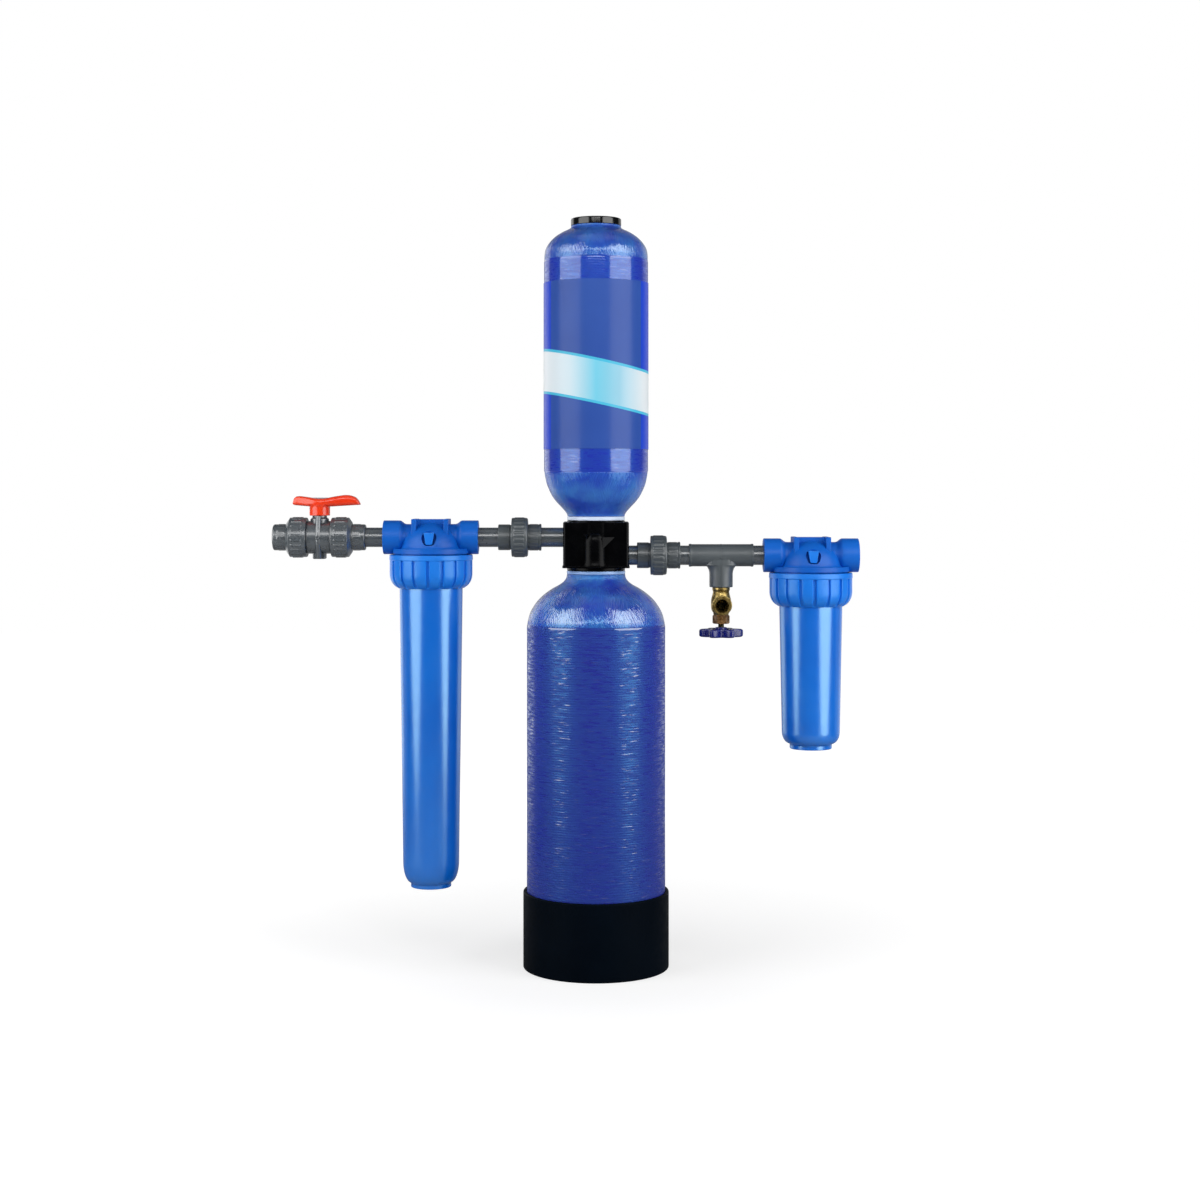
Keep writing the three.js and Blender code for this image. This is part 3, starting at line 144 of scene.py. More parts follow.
# The handle's wing, from its short tip to its long tip: place along X, underside, top, half width.
WING = [
    (-40.4, 50.6, 53.0, 5.5), (-39.2, 49.3, 58.0, 7.0), (-37.0, 48.8, 60.9, 7.8), (-31.0, 48.2, 62.6, 8.8),
    (-23.5, 47.5, 62.0, 10.5), (-15.0, 46.9, 60.8, 13.6), (-7.0, 46.6, 59.6, 15.6), (2.0, 46.6, 59.0, 16.0),
    (10.0, 46.6, 59.6, 15.2), (19.3, 46.7, 61.6, 12.8), (30.0, 47.4, 63.3, 10.6), (39.6, 48.0, 64.4, 9.6),
    (49.2, 48.6, 63.2, 9.0), (56.5, 49.0, 59.4, 8.2), (60.0, 49.2, 54.8, 6.6), (61.9, 49.6, 50.8, 4.4),
]
WING_STATIONS = 70
SECTION_POINTS = 28

# Sizes of the filter housings.
HEAD = Sizes(port=25.7, port_edge=2, reach=72, length=26, taper=7, taper_edge=3, barrel=20.2, socket=20,
             mouth=1, passage=9, dome=46.5, dome_foot=18, dome_rise=42, dome_flare=4, flare_knee=1,
             flare_in=0.7, flare_rise=7, boss_half=28, boss_depth=28, boss_top=28, rib=7.6, web=12,
             web_drop=0.4, web_into=1, flange=58.3, flange_height=8, flange_edge=0.5, lip=1.1,
             lip_height=1.1, lip_edge=0.4, skirt=56.2, skirt_length=24, skirt_bore=50, chamber=42,
             chamber_top=16, edge=1.0, seam=3, seam_height=1.7, pitch=4.2, thread=1.1, thread_end=1,
             thread_row=0.7, hole=2.2, hole_depth=14, hole_inset=5)
RING_NUT = Sizes(bore=57.7, rim=63.4, rim_in=0.4, rim_foot=1.2, rim_foot_edge=0.6, top_in=0.5, rim_height=8,
                 body=62.6, body_gap=0.3, bottom=46, round=22, foot=50.2, foot_edge=0.6, length=50.5,
                 row=2.0, row_low=1, row_high=0.8, lugs=18, lug_sides=24, groove=4.8, groove_depth=3.4,
                 groove_end=0.2, flank=1.0, run_out=4, lip=15.5, lip_bore=48.9, edge=1.0)
BOWL = Sizes(radius=48, flange=56.5, flange_height=9, wall=3.6, floor=11, row=25, foot_wall=3,
             foot_hollow=1, foot_rim=2, foot_edge=1.0, foot_rim_edge=0.8, foot_step=1.5)
LONG_BOWL = Sizes(low=42.5, foot=30.5, foot_height=7, round=32)
SHORT_BOWL = Sizes(low=44, foot=32, foot_height=7.5, round=18)
BUTTON = Sizes(half_top=7.9, half_bottom=5.0, half_height=9.1, below=1.5, front=43.5, length=13.5,
               corner=2.4, edge=2.0, recess_floor=32, pocket_gap=0.3, pocket_corner=2.5, pocket_depth=3.3,
               scoop=9, scoop_share=0.45, scoop_rise=9.5, scoop_out=42.5)
# Half of the outline round the button, each point with its rounding.
RECESS = [(7.5, -10.3, 5), (12.2, 2, 4), (8.2, 9.1, 2)]

# Sizes of the drain valve, from the tee's branch down.
DRAIN = Sizes(neck=13.4, neck_length=15, neck_edge=0.8, waist=1.3, waist_top=4, waist_low=6.5, waist_edge=2,
              spigot=11, spigot_length=11, body=15.3, length=23.4, shoulder=3, shoulder_drop=4, belly=5,
              lower=11.5, lower_step=0.6, lower_length=3.5, outlet_drop=26, outlet=15, outlet_in=1,
              outlet_edge=1.2, lip_length=4, bore=8, bore_low=4, bore_in=2, bore_knee=14, bore_flare=1.2,
              bore_mouth=2.6, bore_drop=1, reach=30, chamber=10.4, chamber_depth=10)
PACKING = Sizes(radius=13, spigot=10.1, spigot_length=5.5, bore=4.9, chamfer=1.8, corner=0.6,
                boss=8.2, boss_top=7, boss_height=3)
STEM = Sizes(radius=4.4, edge=0.4, head=7, head_height=4, head_edge=0.5)
WHEEL = Sizes(radius=26.9, lobe=6.5, lobes=6, sides=180, rim=12.5, drop=2.5, hub=9, hub_edge=1.2, circle=16,
              window=4.6, edge=3.2, web=3, web_edge=1, web_share=0.62, bore=4.7)
SCREW = Sizes(radius=4, edge=1.2, head=2.6, head_edge=0.3, shank=2, slot=0.9, slot_depth=1.1)

# Places, taken from the CAD nodes.
LEFT_LINE = middle("pipe_union_to_manifold", Z)
RIGHT_LINE = middle("pipe_manifold_to_union", Z)
VALVE_X = middle("valve_body", X)
TEE_X = middle("tee", X)
LOWER_FOOT, LOWER_TOP = span("lower_tank", Z)
UPPER_FOOT, UPPER_TOP = span("upper_tank", Z)
DRAIN_TOP = span("tee", Z)[0] - FIT.gap
LOWER_STRAIGHT_LOW = LOWER_FOOT + LOWER.foot_dome
LOWER_STRAIGHT_HIGH = LOWER_STRAIGHT_LOW + LOWER.straight
UPPER_STRAIGHT_HIGH = (UPPER_TOP - UPPER.neck_height
                       - UPPER.dome * math.sqrt(1 - (UPPER.neck / UPPER.radius) ** 2))
UPPER_STRAIGHT_LOW = UPPER_STRAIGHT_HIGH - UPPER.straight
# Where each tank's hoops end, and the height above which its neck is dull.
LOWER_PLACE = Sizes(radius=LOWER.radius, low=LOWER_STRAIGHT_LOW, high=LOWER_STRAIGHT_HIGH + LOWER.wound_over,
                    neck=span("lower_gasket", Z)[0] - WINDING.flare)
UPPER_PLACE = Sizes(radius=UPPER.radius, low=UPPER_STRAIGHT_LOW - UPPER.wound_under,
                    high=UPPER_STRAIGHT_HIGH + UPPER.wound_over, neck=UPPER_TOP)

# The studio, in metres. Lamps are placed by azimuth from the front, height and distance; the last
# value is how bright their face looks, where a white wall in the studio is 1.
CAMERA = Sizes(x=0.006, distance=3.04, height=0.7235, lens=60, sensor=36, drop=110 / 1200)
LAMPS = [
    ("left_softbox", "ELLIPSE", -59, 1.24, 1.5, (1.45, 2.32), 2.6),
    ("right_softbox", "ELLIPSE", 56, 1.21, 1.5, (1.45, 2.38), 3.0),
    ("front_strip", "RECTANGLE", 0, 1.9, 2.6, (1.9, 0.62), 4.6),
    ("left_rim", "RECTANGLE", -140, 1.0, 2.2, (1.2, 2.0), 1.0),
    ("right_rim", "RECTANGLE", 140, 1.0, 2.2, (1.2, 2.0), 0.4),
    ("top_softbox", "RECTANGLE", 0, 3.4, 0.4, (2.0, 2.0), 0.3),
]
LAMP_AIM = 0.65
AREA_SHARES = {"RECTANGLE": 1, "ELLIPSE": math.pi / 4}
# How the room turns from dim to white along Y, and how the floor's own light grows outward and behind.
ROOM = (0.65, 0.9, 0.04, 0.35)
FLOOR = Sizes(half=7, outward=(0.2, 1.4, 0.66, 1.0), behind=(0.3, 1.2, 0.0, 0.4))


def arc(centre, radii, start, end, steps):
    """Points of an elliptical arc in the plane of an outline, with its angles in degrees."""
    angles = np.radians(np.linspace(start, end, steps + 1))
    return [(centre[0] + radii[0] * math.cos(a), centre[1] + radii[1] * math.sin(a)) for a in angles]


def bend(start, corner, end, steps):
    """Points of a curve that leaves its start towards a corner, and comes to its end from there."""
    start, corner, end = (np.array(point, float) for point in (start, corner, end))
    curve = [(1 - t) ** 2 * start + 2 * t * (1 - t) * corner + t * t * end
             for t in np.linspace(0, 1, steps + 1)]
    return [(float(x), float(y)) for x, y in curve]


def soft(points):
    """The outline with its corners rounded where a point has a third value: where the rounding starts."""
    outline = []
    for i, (across, up, *setback) in enumerate(points):
        if not setback:
            outline.append((across, up))
            continue
        at = np.array((across, up), float)
        ends = []
        for other in (points[i - 1], points[(i + 1) % len(points)]):
            away = np.array(other[:2], float) - at
            ends.append(at + away * min(setback[0] / np.linalg.norm(away), ROUND.most_share))
        outline += bend(ends[0], at, ends[1], ROUND.corner)
    return outline


def turned(points, count=ROUND.fitting, relief=None):
    """An outline turned round Z. relief(angle, radius, height) gives the radius that a point really has."""
    outline = soft(points)
    points, rows = [], []
    for radius, height in outline:
        if radius < FIT.axis:
            rows.append([len(points)] * count)
            points.append((0, 0, height))
            continue
        rows.append(list(range(len(points), len(points) + count)))
        for i in range(count):
            angle = 2 * math.pi * i / count
            out = relief(angle, radius, height) if relief else radius
            points.append((out * math.cos(angle), out * math.sin(angle), height))
    if outline[0][0] >= FIT.axis:
        rows.append(rows[0])
    faces = []
    for low, high in zip(rows, rows[1:]):
        for i in range(count):
            j = (i + 1) % count
            face = list(dict.fromkeys((low[i], low[j], high[j], high[i])))
            if len(face) > 2:
                faces.append(face)
    return np.array(points), faces


def rod(radius, low, high, count=ROUND.fitting):
    return turned([(0, low), (radius, low), (radius, high), (0, high)], count)


def ring(bore, radius, low, high, edge, count=ROUND.fitting):
    """A ring or pipe whose outer corners are soft."""
    return turned([(bore, low), (radius, low, edge), (radius, high, edge), (bore, high)], count)


def prism(points, low, high):
    """A flat plate with a given outline in X and Y."""
    outline = soft(points)
    count = len(outline)
    points = [(x, y, height) for height in (low, high) for x, y in outline]
    sides = [[i, (i + 1) % count, count + (i + 1) % count, count + i] for i in range(count)]
    return np.array(points), [list(range(count))[::-1], list(range(count, 2 * count)), *sides]


def lofted(sections):
    """A closed body through a row of outlines that have the same number of points."""
    count = len(sections[0])
    points = [point for section in sections for point in section]
    faces = [list(range(count))[::-1], list(range(len(points) - count, len(points)))]
    for start in range(0, len(points) - count, count):
        for j in range(count):
            a, b = start + j, start + (j + 1) % count
            faces.append([a, b, b + count, a + count])
    return np.array(points), faces


def plan(half_width, half_depth, corner):
    """A rectangle's outline with rounded corners."""
    return [(x, y, corner) for x, y in ((-half_width, -half_depth), (half_width, -half_depth),
                                        (half_width, half_depth), (-half_width, half_depth))]


def block(low, high):
    (x0, y0, z0), (x1, y1, z1) = low, high
    return prism([(x0, y0), (x1, y0), (x1, y1), (x0, y1)], z0, z1)


def placed(shape, x=0.0, y=0.0, z=0.0):
    return shape[0] + np.array((x, y, z)), shape[1]


def scaled(shape, x=1, y=1, z=1):
    return shape[0] * np.array((x, y, z)), shape[1]


def mirrored(shape):
    return scaled(shape, x=-1)


def twisted(shape, degrees, axis):
    """A shape turned about one of the frame's axes."""
    matrix = np.array(Matrix.Rotation(math.radians(degrees), 3, axis))
    return shape[0] @ matrix.T, shape[1]


def along_x(shape):
    return twisted(shape, 90, "Y")


def to_front(shape):
    return twisted(shape, 90, "X")


def as_object(name, shape):
    mesh = bpy.data.meshes.new(name)
    mesh.from_pydata(shape[0].tolist(), [], shape[1])
    surface = bmesh.new()
    surface.from_mesh(mesh)
    bmesh.ops.recalc_face_normals(surface, faces=surface.faces)
    surface.to_mesh(mesh)
    surface.free()
    obj = bpy.data.objects.new(name, mesh)
    bpy.context.scene.collection.objects.link(obj)
    return obj


def as_shape(obj, *helpers):
    """The shape that an object has after its modifiers. The object and its helpers are removed."""
    seen = obj.evaluated_get(bpy.context.evaluated_depsgraph_get())
    mesh = seen.to_mesh()
    shape = np.array([v.co[:] for v in mesh.vertices]), [list(face.vertices) for face in mesh.polygons]
    seen.to_mesh_clear()
    for used in (obj, *helpers):
        bpy.data.objects.remove(used)
    return shape


def combined(base, adds=(), cuts=(), limits=()):
    """A shape joined with others, then cut by others, and then kept only inside others."""
    obj = as_object("work", base)
    helpers = []
    for operation, shapes in (("UNION", adds), ("DIFFERENCE", cuts), ("INTERSECT", limits)):
        for shape in shapes:
            helpers.append(as_object("tool", shape))
            step = obj.modifiers.new(operation, "BOOLEAN")
            step.operation = operation
            step.solver = "EXACT"
            step.object = helpers[-1]
    return as_shape(obj, *helpers)


def eased(shape, width, sharp=SHARP.bevel):
    """A shape whose sharp edges are rounded over."""
    obj = as_object("work", shape)
    step = obj.modifiers.new("edges", "BEVEL")
    step.width = width
    step.segments = ROUND.edge
    step.limit_method = "ANGLE"
    step.angle_limit = math.radians(sharp)
    return as_shape(obj)


def finished(name, shape, finish, body, sharp=SHARP.shading):
    """A visible piece on one of the frame's bodies."""
    obj = as_object(name, (shape[0] * MM, shape[1]))
    obj.data.shade_smooth()
    obj.data.set_sharp_from_angle(angle=math.radians(sharp))
    obj.data.materials.append(finish.material)
    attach(obj, body)
    return obj


def dress(node, shape, finish, x=0.0, z=0.0):
    """Makes the visible piece that stands for a CAD node."""
    obj = finished(node + "_surface", placed(shape, x, z=z), finish, BODY_OF[node])
    even = obj.modifiers.new("even_shading", "WEIGHTED_NORMAL")
    even.keep_sharp = True
    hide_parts(node)


def smooth_step(value):
    value = min(max(value, 0.0), 1.0)
    return value * value * (3 - 2 * value)


def bars(kind, low, high, outside, phase=0.0, flank_share=0.45):
    """A relief of raised bars, all round, between two heights."""
    def relief(angle, radius, height):
        if radius < outside:
            return radius
        turn = (angle / (2 * math.pi) + phase) * kind.count
        across = abs(turn - round(turn)) * 2 * math.pi * radius / kind.count
        up = smooth_step((kind.width / 2 - across) / (flank_share * kind.width) + 0.5)
        along = smooth_step(min(height - low, high - height) / kind.fade)
        return radius + kind.rise * up * along
    return relief


def rows_between(radius, low, high, step):
    """Points of an outline straight up at one radius, about one step apart."""
    return [(radius, z) for z in np.linspace(low, high, max(2, round((high - low) / step) + 1))]


# Height of each surface's grain, in metres.
GRAIN = Sizes(pipe=0.00003, plastic=0.00004, fitting=0.00005, paint=0.0002, brass=0.00022, felt=0.0003,
              media=0.0008)
SOCKETS = {
    "colour": "Base Color", "rough": "Roughness", "metal": "Metallic", "coat": "Coat Weight",
    "coat_rough": "Coat Roughness", "coat_ior": "Coat IOR", "ior": "IOR", "level": "Specular IOR Level",
    "tint": "Specular Tint", "normal": "Normal", "coat_normal": "Coat Normal", "glow": "Emission Color",
    "glow_strength": "Emission Strength",
}


def srgb(text):
    """A colour written as six hexadecimal digits, as the shader wants it."""
    parts = [int(text[i:i + 2], 16) / 255 for i in (0, 2, 4)]
    return (*[p / 12.92 if p <= 0.04045 else ((p + 0.055) / 1.055) ** 2.4 for p in parts], 1)


def grey(level):
    return (level, level, level, 1)


class Nodes:
    """Short calls for the nodes of a material or of the world."""

    def __init__(self, owner, shader, place):
        owner.use_nodes = True
        self.tree = owner.node_tree
        self.shader = self.tree.nodes[shader]
        self.place = self.node("TexCoord").outputs[place]

    def node(self, kind, inputs=None, **settings):
        made = self.tree.nodes.new("ShaderNode" + kind)
        for name, value in settings.items():
            setattr(made, name, value)
        for key, value in (inputs or {}).items():
            if isinstance(value, bpy.types.NodeSocket):
                self.tree.links.new(value, made.inputs[key])
            else:
                made.inputs[key].default_value = value
        return made

    def math(self, operation, *values):
        return self.node("Math", dict(enumerate(values)), operation=operation).outputs[0]

    def times(self, first, second):
        return self.math("MULTIPLY", first, second)

    def line(self, value, factor, offset):
        return self.math("MULTIPLY_ADD", value, factor, offset)

    def within(self, value, *limits):
        """A value's place between two limits, from 0 to 1 or between two others."""
        return self.node("MapRange", dict(enumerate((value, *limits)))).outputs[0]

    def axes(self):
        return self.node("SeparateXYZ", {0: self.place}).outputs


class Finish(Nodes):
    """A Principled material, with the name of a slot kept on it."""

    def __init__(self, name, slot, **constants):
        self.slot = slot
        self.material = bpy.data.materials.new(name)
        super().__init__(self.material, "Principled BSDF", "Object")
        for socket, value in constants.items():
            self.shader.inputs[SOCKETS[socket]].default_value = value

    def noise(self, scale, stretch=(1, 1, 1), detail=3.0):
        """Noise with a number of grains in a metre, more along an axis that is stretched."""
        place = self.node("Mapping", {"Vector": self.place, "Scale": stretch}).outputs[0]
        return self.node("TexNoise", {"Vector": place, "Scale": scale, "Detail": detail}).outputs[0]

    def ramp(self, factor, *stops):
        """A value or colour looked up between stops, each a place and a colour or grey level."""
        made = self.node("ValToRGB", {"Fac": factor})
        elements = made.color_ramp.elements
        while len(elements) < len(stops):
            elements.new(1.0)
        for element, (position, colour) in zip(elements, stops):
            element.position = position
            element.color = colour if isinstance(colour, tuple) else grey(colour)
        return made.outputs[0]

    def mix(self, factor, first, second):
        return self.node("Mix", {0: factor, 6: first, 7: second}, data_type="RGBA").outputs[2]

    def feed(self, socket, value):
        self.tree.links.new(value, self.shader.inputs[SOCKETS[socket]])

    def bump(self, height, distance):
        made = self.node("Bump", {"Height": height, "Distance": distance, "Strength": 1.0})
        self.feed("normal", made.outputs[0])
        self.feed("coat_normal", made.outputs[0])


def moulded(name, slot, dark, light, rough, grain=GRAIN.plastic, **constants):
    """Moulded plastic: a faint drift of colour, uneven sheen and a fine skin texture."""
    finish = Finish(name, slot, **constants)
    drift = finish.ramp(finish.noise(14, detail=2.0), (0.3, 0.0), (0.7, 1.0))
    finish.feed("colour", finish.mix(drift, srgb(dark), srgb(light)))
    finish.feed("rough", finish.ramp(finish.noise(60), (0.3, rough[0]), (0.7, rough[1])))
    finish.bump(finish.noise(900, detail=2.0), grain)
    return finish


def crossed_strokes(finish, angle, z, radius):
    """Strokes of fibre, a few millimetres wide and longer, in two families that cross at an angle."""
    around = finish.times(angle, radius * MM)
    lean = math.radians(STRAND.lean)
    families = []
    for side in (1, -1):
        across = finish.line(z, side * math.sin(lean), finish.times(around, math.cos(lean)))
        along = finish.line(z, math.cos(lean), finish.times(around, -side * math.sin(lean)))
        strokes = finish.node("CombineXYZ", {
            0: finish.math("DIVIDE", across, STRAND.pitch * MM),
            1: finish.math("DIVIDE", along, STRAND.length * MM), 2: 5.0 + side}).outputs[0]
        families.append(finish.node("TexNoise", {"Vector": strokes, "Scale": 1.0, "Detail": 2.0}).outputs[0])
    on_top = finish.ramp(finish.noise(26, detail=1.0), (0.48, 0.0), (0.52, 1.0))
    return finish.mix(on_top, *families)


def hoop_ladder(finish, z, hoops):
    """The even rise and fall of the hoops, stronger here and there."""
    wander = finish.times(finish.noise(45, detail=2.0), 6.0)
    phase = finish.line(z, 2 * math.pi / (STRAND.hoop * MM), wander)
    streaks = finish.noise(9, stretch=(1, 1, 36), detail=2.0)
    return finish.times(finish.math("SINE", phase), finish.times(streaks, hoops))


def resin_coat(finish, angle, z, below, place, gloss):
    """Specks of gloss, and a crown of it: a bright line on the winding's end, a dull strip, a glossy dome."""
    specks = finish.ramp(finish.noise(60, stretch=(1, 1, 8), detail=3.0), (0.6, gloss), (0.72, 1.0))
    zone = finish.within(z, (place.high - RESIN.below) * MM, (place.high + RESIN.above) * MM)
    crown = finish.ramp(zone, (0.07, 0.0), (0.1, 0.8), (0.22, 0.8), (0.27, 0.15), (0.5, 0.25), (0.8, 1.0))
    sector = finish.math("ABSOLUTE", finish.math("SINE", finish.times(angle, 3.0)))
    crown = finish.times(crown, finish.ramp(sector, (0.35, 0.2), (0.75, 1.0)))
    near = finish.within(z, (place.neck - RESIN.neck) * MM, place.neck * MM)
    dull = finish.times(finish.line(below, -0.7, 1.0), finish.line(near, -0.85, 1.0))
    return finish.times(finish.math("MAXIMUM", specks, crown), dull)


def wound_tank(name, place, colours, hoops, rough, gloss, **constants):
    """Wound glass fibre under clear resin: hoops round the side, crossed strands over the domes."""
    finish = Finish(name, "tank_fibreglass", **constants)
    deep, bright, dome_deep, dome_bright = [srgb(c) for c in colours]
    x, y, z = finish.axes()
    angle = finish.math("ARCTAN2", x, finish.times(y, -1.0))
    above = finish.within(z, place.high * MM, (place.high + RESIN.blend) * MM)
    below = finish.within(z, place.low * MM, (place.low - RESIN.blend) * MM)
    dome = finish.math("MAXIMUM", above, below)
    patches = finish.noise(30, detail=4.0)
    rungs = finish.noise(50, stretch=(1, 1, 7), detail=3.0)
    side_colour = finish.mix(finish.ramp(rungs, (0.4, 0.0), (0.75, 1.0)), deep, bright)
    dome_colour = finish.mix(finish.ramp(patches, (0.36, 0.0), (0.66, 1.0)), dome_deep, dome_bright)
    finish.feed("colour", finish.mix(dome, side_colour, dome_colour))
    side_rough = finish.ramp(rungs, (0.42, rough[1]), (0.62, rough[0]))
    finish.feed("rough", finish.mix(dome, side_rough, grey(rough[2])))
    finish.feed("coat", resin_coat(finish, angle, z, below, place, gloss))
    crossed = crossed_strokes(finish, angle, z, place.radius)
    relief = finish.mix(dome, hoop_ladder(finish, z, hoops), finish.times(crossed, STRAND.stroke))
    finish.bump(finish.math("ADD", relief, finish.times(patches, 0.4)), STRAND.height * MM)
    return finish


def label_film():
    """Satin film with a slanted pale band between two thin lines, and nothing printed on it."""
    finish = Finish("label_film", "label_film", coat=0.2, coat_rough=0.2, coat_ior=1.5, level=0.2)
    x, y, z = finish.axes()
    across = finish.math("DIVIDE", x, LABEL.radius * MM)
    level = finish.line(across, LABEL.slant * MM, z)
    navy = finish.mix(finish.noise(18, detail=2.0), srgb("2a4c9e"), srgb("3056aa"))
    on_front = finish.math("LESS_THAN", finish.math("ABSOLUTE", across), LABEL.front_share)
    front = finish.times(on_front, finish.math("LESS_THAN", y, 0.0))
    ground = finish.mix(front, srgb("0c40cc"), navy)
    pale = finish.ramp(finish.line(across, 0.5, 0.5), (0.0, srgb("eef4f8")), (0.25, srgb("d4e8f1")),
                       (0.5, srgb("78cfe8")), (0.72, srgb("93cadf")), (0.95, srgb("e6eef2")))

    def band(inset):
        return finish.times(finish.math("GREATER_THAN", level, (LABEL.band_low + inset) * MM),
                            finish.math("LESS_THAN", level, (LABEL.band_high - inset) * MM))

    bordered = finish.mix(band(LABEL.line), srgb("49bfe0"), pale)
    finish.feed("colour", finish.mix(band(0), ground, bordered))
    finish.feed("rough", finish.ramp(finish.noise(120), (0.3, 0.34), (0.7, 0.44)))
    finish.bump(finish.noise(300, stretch=(1, 1, 6)), GRAIN.pipe)
    return finish


def cast_brass(name, worn, hollow):
    """Tarnished cast brass: bright on the worn parts, brown in the hollows."""
    finish = Finish(name, "aged_brass", metal=1.0)
    tarnish = finish.ramp(finish.noise(150, detail=5.0), (0.4, 0.0), (0.62, 1.0))
    finish.feed("colour", finish.mix(tarnish, srgb(worn), srgb(hollow)))
    finish.feed("rough", finish.ramp(tarnish, (0.0, 0.32), (1.0, 0.52)))
    lumps = finish.math("ADD", finish.noise(420, detail=4.0), finish.times(tarnish, 0.4))
    finish.bump(lumps, GRAIN.brass)
    return finish


def grainy(name, slot, colours, scale, depth, rough):
    """A loose or fibrous stuff: filter media, felt."""
    finish = Finish(name, slot)
    grains = finish.node("TexVoronoi", {"Vector": finish.place, "Scale": scale})
    finish.feed("colour", finish.mix(grains.outputs["Color"], srgb(colours[0]), srgb(colours[1])))
    finish.feed("rough", finish.ramp(finish.noise(scale), (0.2, rough - 0.1), (0.8, rough)))
    finish.bump(grains.outputs["Distance"], depth)
    return finish


def screw_steel():
    finish = Finish("screw_steel", "screw_steel", metal=1.0)
    finish.feed("colour", finish.mix(finish.noise(300), srgb("8c8f92"), srgb("b4b6b8")))
    finish.feed("rough", finish.ramp(finish.noise(500), (0.3, 0.25), (0.7, 0.42)))
    finish.bump(finish.noise(700), GRAIN.plastic)
    return finish


# What the resin and the blue plastic make of a white lamp.
TEAL = (0.12, 0.68, 1.0, 1)
AZURE = (0.55, 0.92, 1.0, 1)

FINISHES = Sizes(
    boot=moulded("boot_black", "boot", "010710", "030b15", (0.45, 0.6), level=0.04),
    lower_tank=wound_tank("lower_tank_resin", LOWER_PLACE, ("27278f", "2b3099", "263cae", "3468ba"), 0.6,
                          (0.26, 0.6, 0.2), 0.02, coat_rough=0.08, coat_ior=2.3, level=1.0, tint=TEAL),
    upper_tank=wound_tank("upper_tank_resin", UPPER_PLACE, ("1f2ca8", "2840ba", "2646b4", "3870c4"), 0.2,
                          (0.2, 0.5, 0.2), 0.45, coat_rough=0.1, coat_ior=2.1, level=0.8, tint=TEAL),
    media=grainy("filter_media", "filter_media", ("2b2825", "57504a"), 600, GRAIN.media, 0.95),
    inner=moulded("inner_plastic", "inner_plastic", "dcdcd4", "ecece6", (0.4, 0.55)),
    ring_low=moulded("lower_ring", "pale_ring", "8db2e8", "a5c4f0", (0.3, 0.4)),
    ring_high=moulded("upper_ring", "pale_ring", "cddcf4", "dde8f8", (0.3, 0.4)),
    black=moulded("block_black", "black_plastic", "010102", "030406", (0.22, 0.32), level=0.11),
    cap=moulded("cap_black", "black_plastic", "010203", "030508", (0.1, 0.18), level=0.8),
    label=label_film(),
    pvc=moulded("grey_pvc", "grey_pvc", "3a4248", "474f55", (0.25, 0.31), grain=GRAIN.pipe, ior=2.3),
    pvc_dark=moulded("grey_pvc_fittings", "grey_pvc", "3a4246", "454d51", (0.36, 0.44), grain=GRAIN.fitting,
                     ior=1.9),
    tee=moulded("grey_pvc_satin", "grey_pvc", "3a4246", "444c50", (0.42, 0.5), ior=1.8),
    red=moulded("handle_red", "red_plastic", "ea3410", "f6441a", (0.2, 0.3), coat=0.6, coat_rough=0.1),
    insert=moulded("handle_insert_grey", "grey_pvc", "7f858e", "8e949c", (0.4, 0.5)),
    head=moulded("head_blue", "head_blue", "0459ba", "0864c8", (0.34, 0.44), level=0.3),
    nut=moulded("nut_blue", "nut_blue", "0e74e0", "167eec", (0.3, 0.4), ior=1.7, tint=AZURE),
    bowl=moulded("bowl_blue", "bowl_blue", "0268d8", "0472e2", (0.2, 0.26), ior=1.85, level=1.0, tint=AZURE),
    rubber=moulded("rubber", "rubber_seal", "0c0c0d", "161617", (0.6, 0.75)),
    felt=grainy("cartridge_felt", "cartridge_felt", ("dcd8ce", "efece4"), 900, GRAIN.felt, 0.95),
    brass=cast_brass("cast_brass", "b8a062", "665228"),
    brass_warm=cast_brass("warm_brass", "c89a68", "6e4c28"),
    # The stem's brass: the same cast brass in far darker colours, painted shade for the stem in the gap
    # between the packing nut and the wheel.
    brass_dark=cast_brass("shaded_brass", "3c3a2a", "1e1c14"),
    wheel=moulded("wheel_paint", "wheel_paint", "0d1258", "151c74", (0.2, 0.34), grain=GRAIN.paint,
                  coat=0.6, coat_rough=0.12),
    steel=screw_steel(),
)


def boot():
    low, top = LOWER_STRAIGHT_LOW, span("base_boot", Z)[1]
    inner = BOOT.radius - BOOT.wall
    dress("base_boot", turned([
        (0, 0), (BOOT.radius, 0, BOOT.edge), (BOOT.radius, top, BOOT.edge), (inner, top, BOOT.rim),
        (inner, low), *arc((0, low), (inner, LOWER.foot_dome), 0, -50, 10)[1:], (BOOT.seat, BOOT.floor),
        (0, BOOT.floor),
    ], ROUND.tank), FINISHES.boot)


def strand_relief(radius, low, high):
    """The slow rise and fall of wound bands, on the domes only."""
    (first, second), (near, far) = WINDING.waves, WINDING.drift

    def relief(angle, out, height):
        if low < height < high or out < LOWER.spigot + WINDING.flare:
            return out
        beyond = min(abs(height - low), abs(height - high))
        swell = math.sin(first * angle + beyond / near) * math.sin(second * angle - beyond / far)
        return out + WINDING.step / 2 * swell * smooth_step(beyond / WINDING.fade) * out / radius
    return relief


def angle_at(rise, dome):
    """Where a dome has risen so far, in degrees."""
    return math.degrees(math.asin(rise / dome))


def angle_out(radius, skin):
    """Where a dome has come in to a radius, in degrees."""
    return math.degrees(math.acos(radius / skin))


